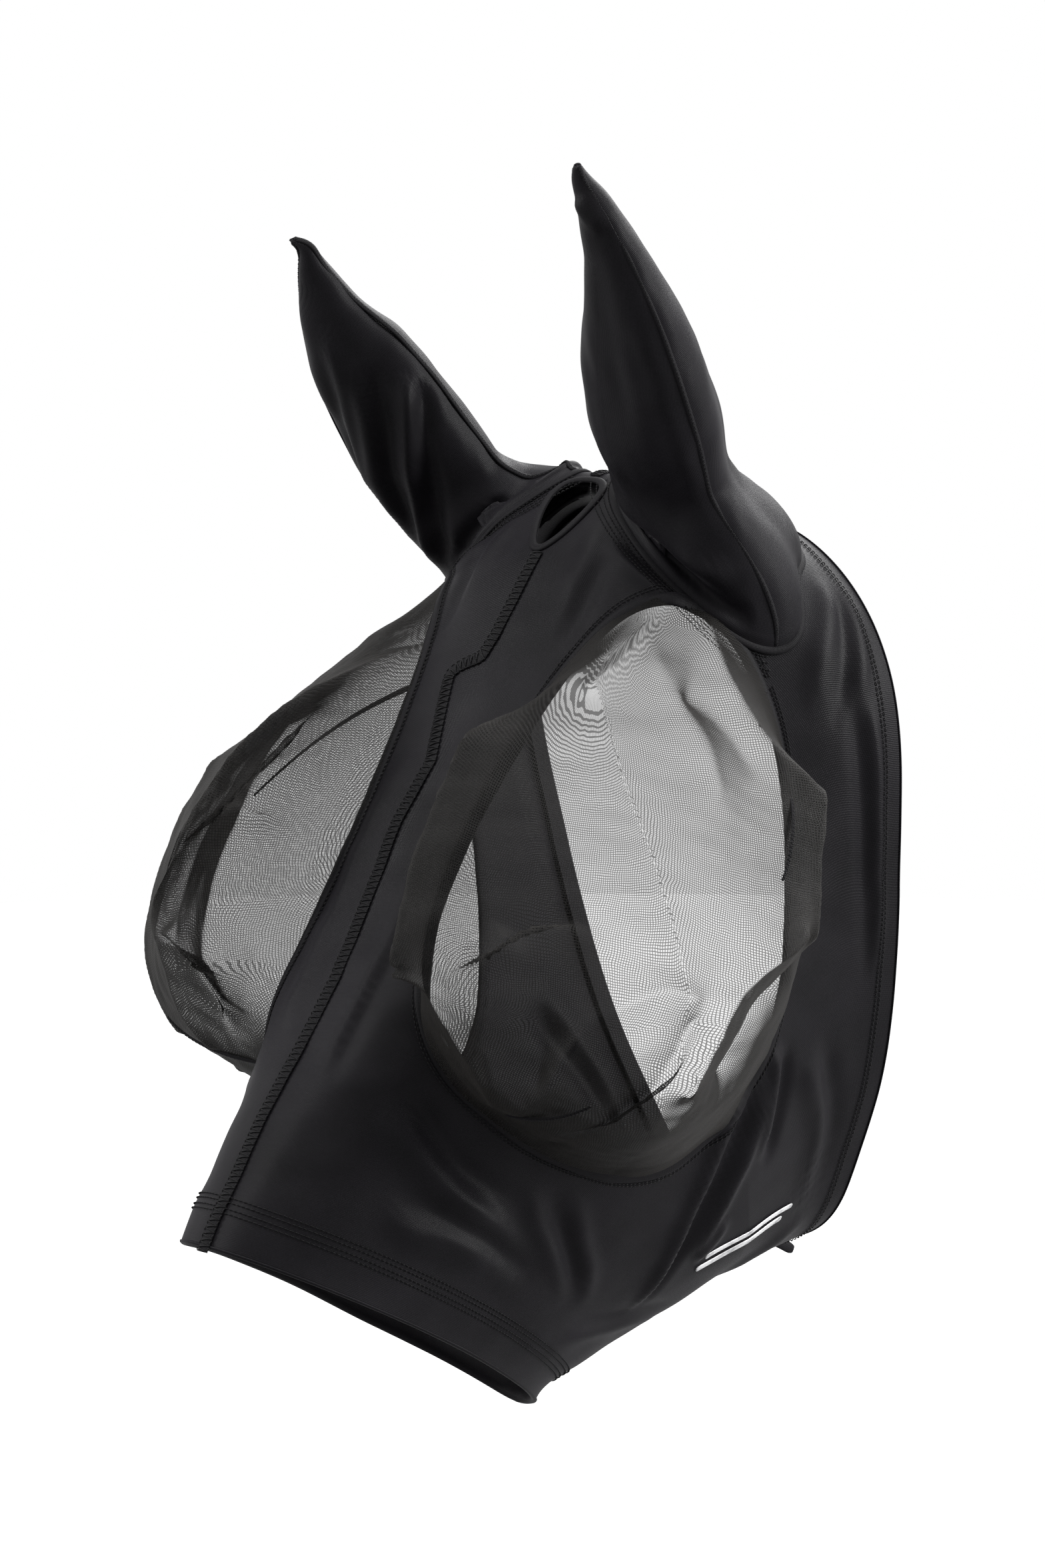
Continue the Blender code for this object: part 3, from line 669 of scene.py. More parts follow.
LYCRA_LOOK = knit("lycra_knit", (0.0042, 0.0039, 0.0047), (0.0105, 0.0096, 0.0118))
TRIM_LOOK = knit("lycra_binding", (0.004, 0.0038, 0.0044), (0.0095, 0.0088, 0.0104), roughness=0.55)
NET_LOOK = net("eye_net", (0.0105, 0.0098, 0.0093), 0.0012, 0.3)
THREAD_LOOK = yarn_look("black_thread", (0.008, 0.0078, 0.0085))
ELASTIC_DARK = (0.005, 0.005, 0.0056)
ELASTIC_LIGHT = [c * 1.8 for c in ELASTIC_DARK]
ELASTIC_LOOK = knit("black_elastic", ELASTIC_DARK, ELASTIC_LIGHT, roughness=0.7, pitch=0.0012, bump=0.6)
SILVER_LOOK = silver_film("reflective_film")


# ---- the lycra sides ----


def seam_line(s):
    """Theta of the face seam, which wanders about the midline, at s."""
    theta = np.interp(s, *(np.array(SEAM_PLACES) / 1000).T)
    return np.where(np.asarray(s) > 0.8, 0.0, theta)


# How much the ear's base and sleeve are drawn in, the turn where and over what width, and the share
# of the ear's length at which it ends.
PINCH = 0.24
PINCH_TURN = 0.85
PINCH_WIDTH = 0.45
PINCH_END = 0.55


def pinch(turn, amount=PINCH):
    """The ear's base and sleeve are drawn in behind the outer seam."""
    return 1 - amount * bell((turn - PINCH_TURN + PI) % (2 * PI) - PI, PINCH_WIDTH)


def outline_value(kind, s, theta):
    """Negative inside an opening, positive outside it."""
    if kind == "eye":
        return eye_radius((s - EYE_CENTRE[0]) / EYE_HALF[0], (theta - EYE_CENTRE[1]) / EYE_HALF[1]) - 1
    if kind == "ear":
        a = (s - EAR_CENTRE[0]) / EAR_HALF[0]
        b = (theta - EAR_CENTRE[1]) / EAR_HALF[1]
        return np.hypot(a, b) / pinch(np.arctan2(b, a)) - 1
    x = (s - FORELOCK_CENTRE) / FORELOCK_HALF[0]
    narrow = 0.72 + 0.38 * np.clip(x, -1, 1)
    return np.sqrt(x**2 + (theta / (FORELOCK_HALF[1] * narrow)) ** 2) - 1


def cut_openings(shape, side):
    """Cut the three openings out of a flat panel whose points are (s, theta, 0)."""
    for kind in ("eye", "ear", "forelock"):

        def value(point):
            return float(outline_value(kind, point.x, point.y * side))

        level = {v: value(v.co) for v in shape.verts}
        on_line = {}  # a dict and not a set, so that its order is the same every run
        crossing = [e for e in shape.edges if level[e.verts[0]] * level[e.verts[1]] < 0]
        for edge in crossing:
            a, b = edge.verts
            low, high = 0.0, 1.0
            for _ in range(18):
                middle = (low + high) / 2
                if (value(a.co.lerp(b.co, middle)) > 0) == (level[a] > 0):
                    low = middle
                else:
                    high = middle
            _, fresh = bmesh.utils.edge_split(edge, a, low)
            level[fresh] = 0.0
            on_line[fresh] = True
        for face in dict.fromkeys(f for v in on_line for f in v.link_faces):
            marks = [v for v in face.verts if v in on_line]
            if len(marks) == 2:
                bmesh.utils.face_split(face, marks[0], marks[1])
        gone = [f for f in shape.faces if value(f.calc_center_median()) < 0]
        bmesh.ops.delete(shape, geom=gone, context="FACES")


def side_panel(side):
    """One side of the hood, nose hem to neck hem, with its openings."""
    name = side_name(side)
    rows, columns = (250, 190)
    share = np.linspace(0.0, 1.0, columns)[None]
    share = share - 0.05 * np.sin(2 * PI * share)
    s = np.linspace(0.0, 1.0, rows)[:, None]
    low = seam_line(s) * side
    theta = (low + (PI - low) * share) * side
    edge = nose_edge(theta)
    s = edge + (1 - edge) * s
    flat = np.stack((s, theta, np.zeros_like(s)), -1)
    mesh = bpy.data.meshes.new(name + "_side_cloth")
    mesh.from_pydata(flat.reshape(-1, 3).tolist(), [], grid_faces(rows, columns).tolist())
    shape = bmesh.new()
    shape.from_mesh(mesh)
    cut_openings(shape, side)
    bmesh.ops.delete(shape, geom=[v for v in shape.verts if not v.link_faces], context="VERTS")
    shape.to_mesh(mesh)
    shape.free()
    flat = np.zeros(len(mesh.vertices) * 3)
    mesh.vertices.foreach_get("co", flat)
    s, theta, _ = flat.reshape(-1, 3).T
    mesh.vertices.foreach_set("co", skin(s, theta).ravel())
    if side < 0:
        mesh.flip_normals()
    along = s * np.interp(np.abs(theta), (0, PI), (0.53, 0.3))
    add_uv(mesh, np.stack((theta * 0.125, along), -1))
    piece = new_object(name + "_side_cloth", mesh, LYCRA_LOOK)
    thicken(piece, LYCRA)
    fit(piece, name + "_side_panel")


# ---- the eye domes ----


def dome(a, b, side):
    """The smooth dome: a runs towards the neck and b towards the jaw, from -1 to 1."""
    share = np.minimum(eye_radius(a, b) / EYE_RIM, 1)
    points = bare_skin(*eye_place(a, b))
    fullness = 1.0 if side > 0 else FAR_DOME
    points = points + EYE_BULGE * (fullness * (1 - share**2) ** EYE_ROUND)[..., None]
    slack = (1 - share**4) ** 0.8
    for bag, middle, size in EYE_BAGS:
        away = ((a - middle[0]) / size[0]) ** 2 + ((b - middle[1]) / size[1]) ** 2
        points = points + np.array(bag) * (slack * np.exp(-away))[..., None]
    return points * np.array((side, 1, 1))


DOME_GRID = 150
DOME_EDGE = 1.02
# The net hangs in flat facets between a few ridges and creases. Each is a line of points of the
# smooth dome, a and b in hundredths, and the millimetres, x y z, that the cloth is drawn off it there.
DOME_RIDGES = {
    "left": [
        [(-52, -65, -9, -10, -5), (-28, -72, -2, -2, 0), (7, -75, -3, -3, 3), (27, -76, -8, -6, 10)],
        [(27, -76, -8, -6, 10), (39, -76, -3, -1, 4), (53, -72, 1, 0, 1), (74, -59, 1, 0, 4)],
        [(89, -38, 4, 1, 6), (82, -26, 4, 1, 5), (76, -10, 5, 2, 4), (74, 10, 10, 11, 8)],
        [(74, 10, 10, 11, 8), (60, 13, 4, 3, 1), (47, 26, 3, 1, 0)],
        [(-51, -66, -6, -5, -4), (-34, -57, -3, 4, 0), (-10, -49, -4, 4, -1), (6, -38, -5, 4, -1)],
        [(-13, -49, 2, -2, 1), (-31, -47, 2, -4, -1), (-60, -39, 1, -4, -2), (-86, -10, -1, -2, -4)],
        [(-84, -5, -1, -2, -3), (-32, -24, 3, -5, -1), (0, -17, 5, -3, 1), (8, -4, 5, -1, 1)],
        [(-84, 29, 0, 1, 2), (-46, 12, -4, 5, 2), (-19, 10, -6, 4, 0), (4, 2, -5, 4, 0)],
        [(43, 17, 8, 2, 0), (25, 8, 9, 0, 0), (11, 7, 9, 0, 0), (-13, 23, 7, 0, -3)],
        [(40, 34, -17, -2, 2), (25, 33, -18, 0, 3), (8, 46, -14, -3, 7)],
        [(74, -57, 2, 0, 4), (57, -61, 1, -2, 4)],
        [(74, -53, 2, 0, 4), (67, -36, 3, 0, 4), (58, -25, 2, -1, 2)],
        [(72, -40, -2, 1, -2), (74, -30, -3, 1, -2), (70, -15, -3, 1, -2)],
        [(-86, -12, -2, -3, -5), (-67, -45, -1, -4, -3), (-49, -58, -2, -5, -1)],
        [(-60, -20, -3, 3, 1), (-30, -36, -4, 4, 0), (-14, -42, -3, 2, 0)],
    ],
    "right": [
        [(53, -84, 0, 0, 2), (36, -76, -2, -1, 2), (7, -69, -3, -1, 2), (-19, -64, -3, -1, 1)],
        [(-19, -64, -3, -1, 1), (-30, -45, -5, -1, 0), (-47, -42, -3, -1, -1), (-74, -4, -2, -1, -3)],
        [(23, -90, 2, 1, 2), (11, -84, 2, 2, 1), (-8, -77, 3, 2, 1), (-14, -82, 3, 2, 1)],
        [(-40, -52, 0, -2, 0), (-62, -58, 1, -3, -2), (-80, -45, 2, -2, -2)],
        [(30, -50, -4, 1, 3), (5, -30, -6, 0, 2), (-20, -5, -5, 0, 0), (-45, 15, -3, 0, -2)],
        [(60, -20, -4, 2, 3), (35, 10, -6, 3, 1), (5, 30, -6, 2, -1)],
        [(45, -30, 5, -3, -2), (18, -8, 7, -2, -1), (-8, 14, 6, -2, 0)],
        [(-5, -50, 5, -2, -1), (-25, -25, 5, -1, 0), (-50, -10, 4, 0, 1)],
        [(20, 45, -4, 2, 0), (-15, 50, -4, 1, -2), (-45, 45, -3, 1, -3)],
    ],
}
# Where the net is folded over itself: width in metres, and a line of points (a, b).
DOME_TUCKS = {
    "left": [
        (0.0075, [(-0.44, -0.56), (-0.25, -0.5), (-0.06, -0.45), (0.06, -0.38)]),
        (0.007, [(-0.8, 0.2), (-0.46, 0.16), (-0.2, 0.14), (0.04, 0.06)]),
    ],
    "right": [
        (0.011, [(0.4, -0.8), (0.23, -0.8), (0.05, -0.76), (-0.12, -0.68), (-0.26, -0.52)]),
        (0.012, [(-0.34, -0.46), (-0.55, -0.5), (-0.74, -0.4), (-0.82, -0.2)]),
        (0.006, [(0.1, -0.6), (-0.06, -0.5), (-0.16, -0.36)]),
    ],
}
TUCK_FOLD = 1.8
TUCK_RISE = 0.35
MEMBRANE_HOLD = 0.0011
RIDGE_UNITS = (100, 100, 1, 1, 1)


def dome_grid():
    """Dome coordinates of a square grid, pulled into the opening's outline."""
    line = np.linspace(-1, 1, DOME_GRID)
    x, y = np.meshgrid(line, line, indexing="ij")
    most = np.maximum(np.abs(x), np.abs(y))
    rho = eye_radius(x, y)
    scale = np.where(rho > 1e-9, most / np.maximum(rho, 1e-9), 1) * DOME_EDGE
    return x * scale, y * scale


def relaxed(points):
    """A grid with each inner point in the middle of its four neighbours."""
    mean = points.copy()
    mean[1:-1, 1:-1] = (points[:-2, 1:-1] + points[2:, 1:-1] + points[1:-1, :-2] + points[1:-1, 2:]) / 4
    return mean


def hang(points, a, b, side, ridges):
    """Stretch the net between its rim and its ridges, held loosely near the smooth dome."""
    fixed = np.ones(a.shape, bool)
    fixed[1:-1, 1:-1] = False
    spot = np.stack((a.ravel(), b.ravel()), -1)
    target = points.reshape(-1, 3).copy()
    pinned = fixed.ravel().copy()
    for ridge in ridges:
        ridge = path(np.array(ridge) / RIDGE_UNITS, 160)
        where = dome(ridge[:, 0], ridge[:, 1], side) + ridge[:, 2:] / 1000
        for place, point in zip(ridge[:, :2], where):
            k = int(np.argmin(np.sum((spot - place) ** 2, axis=1)))
            if not fixed.ravel()[k]:
                target[k] = point
                pinned[k] = True
    pinned = pinned.reshape(a.shape)[..., None]
    smooth = points
    held = points = target.reshape(points.shape)
    for _ in range(900):
        mean = (relaxed(points) + smooth * MEMBRANE_HOLD * 4) / (1 + MEMBRANE_HOLD * 4)
        points = np.where(pinned, held, mean)
    for _ in range(2):
        points = np.where(fixed[..., None], points, (points + relaxed(points)) / 2)
    return points


def surface_normals(points, out):
    normal = unit(np.cross(np.gradient(points, axis=0), np.gradient(points, axis=1)))
    middle = normal[points.shape[0] // 2, points.shape[1] // 2]
    return normal * np.sign(middle @ out)


def tuck(flat, normal, line, width):
    """Fold the cloth over itself along a line: its points cross over and stack up."""
    away = np.linalg.norm(flat[:, None] - line[None], axis=2)
    k = away.argmin(1)
    along = unit(np.gradient(line, axis=0))[k]
    across = unit(np.cross(along, normal))
    d = np.sum((flat - line[k]) * across, axis=1)
    t = k / (len(line) - 1)
    fade = np.clip(np.minimum(t, 1 - t) / 0.3, 0, 1) * (away.min(1) < 3 * width)
    fall = bell(d, width) * fade
    return flat - across * (TUCK_FOLD * d * fall)[:, None] + normal * (TUCK_RISE * d * fall)[:, None]


def eye_net(side):
    """The see-through dome, baggy and creased."""
    name = side_name(side)
    a, b = dome_grid()
    points = dome(a, b, side)
    rho = eye_radius(a, b)
    s, theta = eye_place(a, b, side)
    tied = np.clip((rho - 0.8) / 0.2, 0, 1)
    points = points + outward(s, theta) * (tied * (relief(s, theta) - 0.0009))[..., None]
    uv = cloth_uv(points)
    points = hang(points, a, b, side, DOME_RIDGES[name])
    normal = surface_normals(points, EYE_BULGE * np.array((side, 1, 1))).reshape(-1, 3)
    flat = points.reshape(-1, 3)
    free = np.clip((EYE_RIM - rho.ravel()) / 0.08, 0, 1)[:, None]
    bags = 0.0009 * ripple(flat, 0.05, 11 + side) + 0.0003 * ripple(flat, 0.016, 17 + side)
    worn = flat + normal * bags[:, None]
    for width, line in DOME_TUCKS[name]:
        away = [np.argmin((a.ravel() - p) ** 2 + (b.ravel() - q) ** 2) for p, q in path(line, 60)]
        worn = tuck(worn, normal, smooth_line(worn[away]), width)
    flat = flat * (1 - free) + worn * free
    piece = sheet_mesh(name + "_eye_net", flat.reshape(points.shape), NET_LOOK, uv=uv)
    fit(piece, name + "_eye_mesh")


def eye_ring(side, grow, lift):
    """Points and normals round the eye opening, this share outside its outline."""
    s, theta = eye_place(*eye_spot(1 + grow, np.linspace(0, 2 * PI, 360, endpoint=False)), side)
    return skin(s, theta, lift), outward(s, theta)


def round_step(line, normals, count):
    """A closed line with evenly spaced points."""
    both = np.hstack((line, normals))
    both = np.concatenate((both, both[:1]))
    length = np.linalg.norm(np.diff(both[:, :3], axis=0), axis=1).sum()
    even = resample(both, length / count)
    return even[:-1, :3], unit(even[:-1, 3:])


def eye_edge(side):
    """The rolled lycra edge round the net, and the stitching behind it."""
    name = side_name(side)
    line, normals = round_step(*eye_ring(side, -0.006, 0.0004), 900)
    half_width = 0.0036 + 0.0004 * ripple(line, 0.05, 23)
    roll = sweep(name + "_eye_roll", line, normals, half_width, 0.0014, closed=True, sides=14)
    fit(roll, name + "_eye_binding")
    rows = []
    for grow in (0.03, 0.04):
        rows += running(*eye_ring(side, grow, 0.0003), 0.0026, 0.00035)
    stitch(name + "_eye_stitch_rows", rows, 0.00028, name + "_eye_stitching")


def eye_dart(side, which, share):
    """A stitched tuck in the net, running in from the rim."""
    name = f"{side_name(side)}_eye_{which}"
    rho = np.linspace(0.9, 0.48, 30)
    a, b = eye_spot(rho, share * 2 * PI)
    line = dome(a, b, side)
    near = dome(a + 0.01, b, side) - line
    other = dome(a, b + 0.01, side) - line
    normal = unit(np.cross(near, other))
    normal *= np.sign(np.sum(normal * EYE_BULGE * np.array((side, 1, 1)), axis=1, keepdims=True))
    line = line + normal * 0.0016
    width = np.interp(rho, (0.48, 0.9), (0.0006, 0.0018))
    ridge = sweep(name + "_tuck", line, normal, width, width * 0.5, sides=8)
    fit(ridge, name + "_dart")
    rows = zigzag(line, normal, 0.0022, 0.0026, 0.0007)
    stitch(name + "_tuck_stitches", rows, 0.00022)


# ---- ears ----


EAR_SIDES = {"left": 1, "right": -1}


def ear_line(turn, size, wide, side=1, amount=PINCH):
    """s and theta round the ear opening: size and wide are 1 on its outline."""
    drawn = pinch(turn, amount)
    s = EAR_CENTRE[0] + EAR_HALF[0] * size * drawn * np.cos(turn)
    return s, (EAR_CENTRE[1] + EAR_HALF[1] * wide * drawn * np.sin(turn)) * side


def ear_ring(turn, grow=-0.04, lift=0.003, side=1, amount=PINCH):
    """Round the base of an ear, always on the left: side says whose folds it follows."""
    s, theta = ear_line(turn, 1 + grow, 1 + grow, amount=amount)
    return bare_skin(s, theta) + outward(s, theta) * (relief(s, theta * side) + lift)[..., None]


EAR_BASE = ear_ring(np.arange(24) / 24 * 2 * PI, amount=0.0).mean(0)
EAR_NORMAL = outward(*EAR_CENTRE)
EAR_OUTER = 1.82
# Folds of each sleeve: height and width in tenths of a millimetre, how fast the ends fade, and
# points, in thousandths of the sleeve's length and hundredths of a radian round it.
EAR_FOLDS = {
    "left": [
        (-65, 60, 0.2, [(190, 385), (80, 350), (40, 300), (20, 250), (30, 211)]),
        (35, 60, 0.25, [(240, 380), (150, 345), (105, 300), (85, 250), (110, 215)]),
        (30, 85, 0.3, [(339, 362), (236, 309), (120, 260), (60, 230)]),
        (-22, 70, 0.3, [(300, 330), (210, 285), (120, 240)]),
        (22, 50, 0.3, [(938, 335), (906, 281), (870, 220)]),
        (-16, 80, 0.35, [(850, 310), (600, 300), (400, 280)]),
        (16, 60, 0.35, [(800, 235), (550, 220), (300, 210), (100, 200)]),
    ],
    "right": [
        (36, 60, 0.25, [(675, 345), (454, 295), (300, 260), (120, 236)]),
        (-34, 60, 0.25, [(640, 375), (430, 325), (290, 285), (120, 255)]),
        (34, 55, 0.25, [(781, 340), (504, 268), (248, 224)]),
        (-26, 55, 0.25, [(720, 305), (480, 245), (240, 210)]),
        (40, 45, 0.2, [(570, 418), (413, 358), (199, 293), (60, 237)]),
        (-36, 50, 0.2, [(530, 440), (390, 385), (190, 320), (60, 260)]),
        (-50, 60, 0.25, [(160, 410), (60, 350), (30, 280)]),
        (20, 80, 0.35, [(900, 300), (700, 260), (450, 220)]),
    ],
}


def ear_point(which, share, turn):
    """A point of the smooth sleeve. turn is 0 at the back and a quarter turn at the outer edge."""
    tip = EAR_TIPS[which]
    chord = unit(ear_ring(np.array(PI / 2)) - ear_ring(np.array(-PI / 2)))
    up = unit(tip - EAR_BASE)
    across = unit(chord - up * (chord @ up))
    back = np.cross(up, across)
    back = back * np.sign(back[1])
    grid = np.linspace(0, 1, 200)
    rows = [np.interp(grid, EAR_SHARES, np.array(row) / 1000) for row in EAR_SHAPES[which]]
    rows = [rounded(row, 10, mode="reflect", reflect_type="odd") for row in rows]
    width, depth, shift = (np.interp(share, grid, row) for row in rows)
    rise = (tip - EAR_BASE) * share[..., None]
    drawn = 1 - (1 - pinch(turn)) * np.clip(1 - share / PINCH_END, 0, 1)
    oval = EAR_BASE + rise + across * (width * drawn * np.sin(turn) + shift)[..., None]
    oval = oval + back * (depth * drawn * np.cos(turn))[..., None]
    low = np.clip(-share / 0.03, 0, 1)
    ring = ear_ring(turn, -0.04 + 0.06 * low, 0.003 - 0.0028 * low, EAR_SIDES[which])
    lifted = ring + np.maximum(rise, 0) * (share > 0)[..., None]
    blend = smooth_step(share / EAR_BLEND)[..., None]
    return lifted * (1 - blend) + oval * blend


def ear_sheet(which, panel, turns):
    """Half of an ear sleeve, front or back, with its folds."""
    side = EAR_SIDES[which]
    share = np.concatenate((np.linspace(-0.03, 0, 6)[:-1], np.linspace(0, 1, 150)))[:, None]
    share, turn = np.broadcast_arrays(share, np.linspace(*turns, 90)[None])
    points = ear_point(which, share, turn)
    flat = points.reshape(-1, 3)
    normal = unit(np.cross(np.gradient(points, axis=1), np.gradient(points, axis=0)))
    centre = EAR_BASE + (EAR_TIPS[which] - EAR_BASE) * share[..., None]
    normal *= np.sign(np.sum(normal * (points - centre), axis=2, keepdims=True))
    fade = np.clip((share.ravel() + 0.01) / 0.06, 0, 1) * np.clip((1.02 - share.ravel()) / 0.1, 0, 1)
    lift = 0.0008 * ripple(flat, 0.06, 31 + side, (1.2, 1.2, 0.5))
    lift = lift + 0.00025 * ripple(flat, 0.02, 37, (1.3, 1.3, 0.6))
    for height, width, ends, line in EAR_FOLDS[which]:
        line = path(np.array(line) / FOLD_UNITS)
        lift = lift + fold_lift(flat, ear_point(which, line[:, 0], line[:, 1]), height, width, ends)
    flat = (flat + normal.reshape(-1, 3) * (lift * fade)[:, None]) * np.array((side, 1, 1))
    piece = sheet_mesh(f"{which}_ear_{panel}_cloth", flat.reshape(points.shape), LYCRA_LOOK)
    thicken(piece, LYCRA)
    fit(piece, f"{which}_ear_{panel}", which)


def join_ear(piece, which):
    """Bake a piece's placement into its mesh. The plane of the ear's base is worked out here but not used.
    """
    ring = ear_ring(np.arange(48) / 48 * 2 * PI)
    middle = ring.mean(0)
    up = np.linalg.svd(ring - middle)[2][2]
    up = up * np.sign(up @ EAR_NORMAL)
    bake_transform(piece)


def ear_seam(which):
    """The seam up the ear's inner edge and down its outer edge."""
    side = np.array((EAR_SIDES[which], 1, 1))
    share = np.linspace(-0.02, 0.995, 90)
    inner = ear_point(which, share, np.full(90, -PI / 2))
    outer = ear_point(which, share[::-1], np.full(90, EAR_OUTER))
    centre = EAR_BASE + (EAR_TIPS[which] - EAR_BASE) * np.concatenate((share, share[::-1]))[:, None]
    line = np.concatenate((inner, outer))
    line = resample(np.hstack((line, unit(line - centre))), 0.002)
    where, normals = (line[:, :3] + line[:, 3:] * 0.0003) * side, unit(line[:, 3:]) * side
    ridge = sweep(which + "_ear_seam_ridge", where, normals, 0.0016, 0.0008, sides=10)
    fit(ridge, which + "_ear_seam", which)
    rows = zigzag(where, normals, 0.0022, 0.0026, 0.0009)
    stitch(which + "_ear_seam_stitches", rows, 0.00022, ear=which)


def ear_base(side):
    """The seam round the ear opening and the rows of stitching in front of it."""
    name = side_name(side)
    s, theta = ear_line(np.linspace(0, 2 * PI, 240, endpoint=False), 1.03, 1.03, side)
    line, normals = round_step(skin(s, theta, 0.0006), outward(s, theta), 300)
    roll = sweep(name + "_ear_base_roll", line, normals, 0.0026, 0.0013, closed=True)
    fit(roll, name + "_ear_base_seam")
    turn = np.linspace(math.radians(112), math.radians(262), 90)
    rows = []
    for grow in (0.1, 0.15, 0.21, 0.26):
        s, theta = ear_line(turn, 1 + grow, 1 + grow * 0.8, side)
        rows += running(skin(s, theta, 0.0003), outward(s, theta), 0.0024, 0.0004)
    stitch(name + "_ear_base_rows", rows, 0.00028, name + "_ear_base_stitching")


# ---- seams, hems and small parts ----


def seam(name, s, theta, half_width=0.0034):
    """A flatlock seam: a low ridge with zigzag stitches over it and a row along each side."""
    line, normals = skin(s, theta, 0.0003), outward(s, theta)
    fit(sweep(name + "_ridge", line, normals, half_width, 0.0009), name)
    rows = zigzag(line + normals * 0.0007, normals, half_width * 2.1, 0.0034, 0.0006)
    _, _, across = frames(line, normals, False)
    for shift in (-1.0, 1.0):
        rows += running(line + across * half_width * shift + normals * 0.0002, normals, 0.0034, 0.0005)
    stitch(name + "_stitches", rows, 0.00034)


def hem_s(theta, width, neck):
    """s at a distance from a hem's edge."""
    at = 0.98 if neck else 0.02
    rate = np.linalg.norm(bare_skin(at + 0.01, theta) - bare_skin(at - 0.01, theta), axis=-1) / 0.02
    return 1 - width / rate if neck else nose_edge(theta) + width / rate


# Distance from the hem's edge and height above the cloth where the fabric turns in, in metres.
HEM_TURN = [(0.0012, 0.0004), (0.0005, 0.0002), (0.0, -0.0008), (0.0004, -0.002), (0.0014, -0.0026)]
HEM_INSIDE = -0.003


def hem(name, width, neck):
    """A turned hem: the fabric folded in round its edge, the elastic inside and rows of stitches."""
    theta = np.linspace(-PI, PI, 420, endpoint=False)
    start = HEM_TURN[-1][0]
    inside = [(start + (width - start) * t, HEM_INSIDE) for t in np.linspace(0.1, 1, 10)]
    rows = [skin(hem_s(theta, distance, neck), theta, lift) for distance, lift in HEM_TURN + inside]
    turned = sheet_mesh(name + "_turned_edge", np.stack(rows), LYCRA_LOOK, closed=True)
    thicken(turned, 0.0006, 0.0)
    fit(turned, name + "_facing")
    round_length = float(np.linalg.norm(np.diff(rows[0], axis=0), axis=1).sum())
    rows = [skin(hem_s(theta, d, neck), theta, -0.0016) for d in np.linspace(0.0016, width * 0.7, 8)]
    band = sheet_mesh(name + "_elastic_band", np.stack(rows), ELASTIC_LOOK, closed=True)
    thicken(band, 0.0008, 0.0)
    fit(band, name + "_elastic")
    around = np.linspace(-PI, PI, 500)
    rows = []
    for back in (0.0, 0.0026) if neck else (0.0, 0.0024, 0.0056, 0.008):
        s = hem_s(around, width - back, neck)
        rows += running(skin(s, around, 0.0003), outward(s, around), 0.0027, 0.0004)
    stitch(name + "_stitch_rows", rows, 0.0003, name + "_stitching")


def forelock_edge():
    """The bound edge of the hole between the ears."""
    turn = np.linspace(0, 2 * PI, 240, endpoint=False)
    s = FORELOCK_CENTRE + FORELOCK_HALF[0] * 0.99 * np.cos(turn)
    theta = FORELOCK_HALF[1] * 0.99 * np.sin(turn) * (0.72 + 0.38 * np.cos(turn))
    line, normals = round_step(skin(s, theta, 0.0003), outward(s, theta), 260)
    roll = sweep("forelock_roll", line, normals, 0.0022, 0.0012, closed=True)
    fit(roll, "forelock_binding")


def poll_band():
    """The narrow elastic between the ear bases, behind the forelock hole."""
    s, theta = pair(np.linspace(0.8785, 0.8955, 7)[:, None], np.linspace(-0.1, 0.1, 50)[None])
    points = bare_skin(s, theta) + outward(s, theta) * (-0.0048 + 0.0003 * np.cos(s * 900))[..., None]
    band = sheet_mesh("poll_band", points, ELASTIC_LOOK)
    thicken(band, 0.0011, 0.0)
    fit(band, "poll_elastic")


def throat_tail():
    """The loose end of the jaw seam, a flat folded tab."""
    low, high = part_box("throat_seam_tail")
    start = skin(0.94, PI, -0.001).reshape(3) * (0, 1, 1)
    end = np.array((0.0, high[1] + 0.004, low[2] - 0.001))
    line = path([start, start * 0.6 + end * 0.4 + (0, 0, 0.001), end], 24)
    normals = np.broadcast_to((1.0, 0.0, 0.0), line.shape)
    width = np.interp(np.linspace(0, 1, 24), (0, 0.2, 0.9, 1), (0.0018, 0.0026, 0.003, 0.0022))
    tab = sweep("throat_tab", line, normals, width, 0.0011, power=0.7)
    fit(tab, "throat_seam_tail")


# Half width in metres, and the ends (s, theta).
STRIPS = {
    "lower": (0.0021, (0.434, 2.418), (0.732, 2.514)),
    "upper": (0.0018, (0.462, 2.364), (0.768, 2.48)),
}


def reflective_strips():
    taper = np.clip(np.minimum(np.arange(80), np.arange(79, -1, -1)) / 3 + 0.6, 0, 1)
    for which, (half_width, start, end) in STRIPS.items():
        s, theta = np.linspace(start, end, 80).T
        line, normals = skin(s, theta, 0.0006), outward(s, theta)
        name = f"left_silver_strip_{which}"
        strip = sweep(name, line, normals, half_width * taper, 0.0003, SILVER_LOOK, sides=10, power=0.5)
        fit(strip, "left_reflective_strip_" + which)


# ---- camera, light and floor ----

AZIMUTH = math.radians(45)
ELEVATION = math.radians(8)
DISTANCE = 2.6
LENS = 119.4
AIM = Vector((0, -0.0356, -0.1528))
# Each lamp's place, its width and height in metres, and its power in watts.
LAMPS = {
    "overhead": ((0.2, -0.2, 2.2), (2.2, 2.2), 62),
    "left_wall": ((2.2, 1.6, 0.8), (0.9, 2.2), 108),
    "front_right": ((-1.9, -1.9, 1.1), (0.8, 1.8), 42),
    "behind": ((-0.6, 2.4, 1.4), (2.4, 1.4), 52),
}
LAMP_AIM = (0, -0.02, -0.15)
ROOM_LIGHT = 0.56
FLOOR_GLOW = 0.74
FLOOR_TONES = ((0.22, 0.22, 0.22), (0.25, 0.25, 0.25))
FLOOR_RADIUS = 2.3
FLOOR_DROP = 0.12


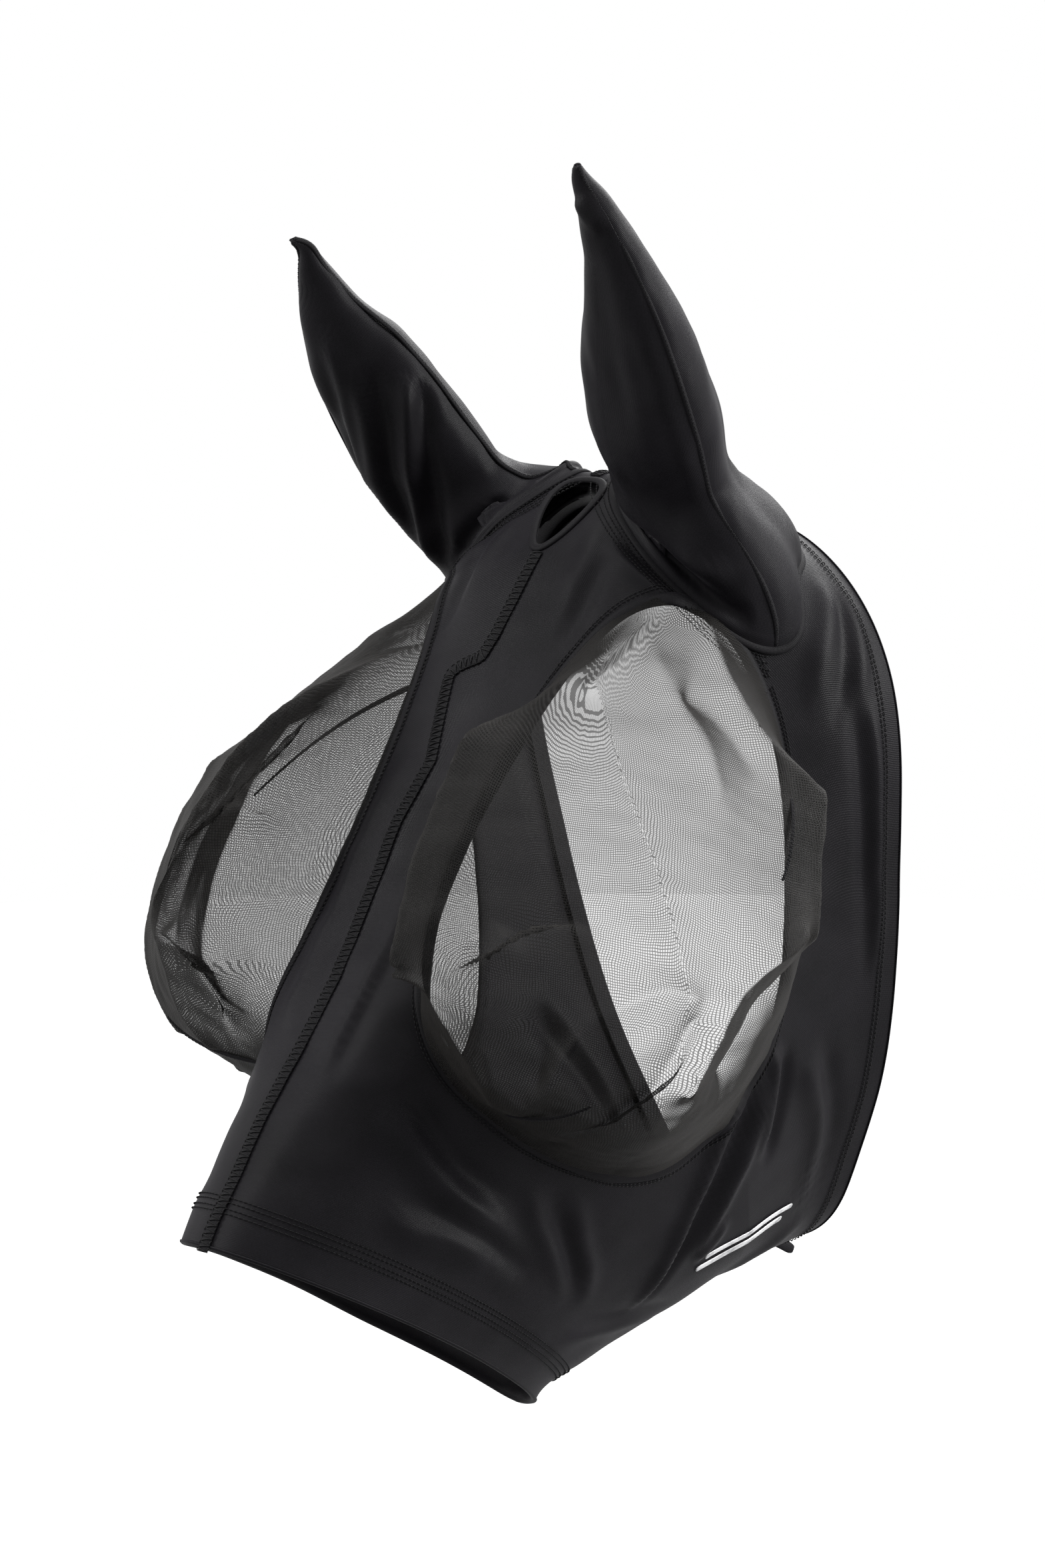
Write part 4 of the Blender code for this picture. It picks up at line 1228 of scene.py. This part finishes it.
def hang_up(data, place, target):
    """Put a lamp or the camera in the scene, looking at a point."""
    made = bpy.data.objects.new(data.name, data)
    bpy.context.scene.collection.objects.link(made)
    made.location = place
    made.rotation_euler = (Vector(target) - Vector(place)).to_track_quat("-Z", "Y").to_euler()
    return made


def camera():
    flat = math.cos(ELEVATION)
    back = Vector((math.sin(AZIMUTH) * flat, -math.cos(AZIMUTH) * flat, math.sin(ELEVATION)))
    data = bpy.data.cameras.new("camera")
    data.sensor_width = 36
    data.lens = LENS
    bpy.context.scene.camera = hang_up(data, AIM + back * DISTANCE, AIM)


def studio():
    """Four soft lamps in a white room. The camera sees the room and the floor brighter than they light."""
    for name, (place, size, power) in LAMPS.items():
        data = bpy.data.lights.new(name, "AREA")
        data.shape = "RECTANGLE"
        data.size, data.size_y = size
        data.energy = power
        hang_up(data, place, LAMP_AIM)
    world = bpy.data.worlds.new("studio")
    world.use_nodes = True
    tree = world.node_tree
    back = tree.nodes["Background"]
    back.inputs[0].default_value = (1, 1, 1, 1)
    rays = tree.nodes.new("ShaderNodeLightPath")
    strength = tree.nodes.new("ShaderNodeMapRange")
    strength.inputs["To Min"].default_value = ROOM_LIGHT
    strength.inputs["To Max"].default_value = 1.0
    tree.links.new(rays.outputs["Is Camera Ray"], strength.inputs["Value"])
    tree.links.new(strength.outputs[0], back.inputs[1])
    bpy.context.scene.world = world
    bpy.context.scene.view_settings.view_transform = "Standard"
    mesh = bpy.data.meshes.new("floor")
    shape = bmesh.new()
    bmesh.ops.create_circle(shape, cap_ends=True, segments=96, radius=FLOOR_RADIUS)
    bmesh.ops.translate(shape, verts=shape.verts, vec=(0, 0, CAD_BOX[0].z - FLOOR_DROP))
    shape.to_mesh(mesh)
    shape.free()
    look = Look("pale_floor")
    look.two_tone(look.node("TexNoise", Scale=3.0, Detail=3.0).outputs[0], *FLOOR_TONES)
    seen = look.node("LightPath").outputs["Is Camera Ray"]
    glow = look.calc("MULTIPLY", seen, FLOOR_GLOW)
    look.finish({"Roughness": 0.9, "Emission Color": (1, 1, 1, 1), "Emission Strength": glow})
    new_object("floor", mesh, look.material)


camera()
studio()
for SIDE in (1, -1):
    side_panel(SIDE)
    eye_net(SIDE)
    eye_edge(SIDE)
    eye_dart(SIDE, "front", 0.5)
    eye_dart(SIDE, "rear", 0.0)
    ear_base(SIDE)
for EAR in EAR_SIDES:
    ear_sheet(EAR, "back", (-PI / 2, EAR_OUTER))
    ear_sheet(EAR, "front", (EAR_OUTER, 3 * PI / 2))
    ear_seam(EAR)
FACE_S = np.linspace(-0.009, 0.787, 400)
seam("face_seam", FACE_S, seam_line(FACE_S))
seam("crown_seam", np.linspace(0.882, 0.998, 60), np.zeros(60))
seam("jaw_seam", np.linspace(-0.003, 0.998, 240), np.full(240, PI), 0.0026)
hem("nose_hem", NOSE_HEM, False)
hem("neck_hem", NECK_HEM, True)
forelock_edge()
poll_band()
throat_tail()
reflective_strips()
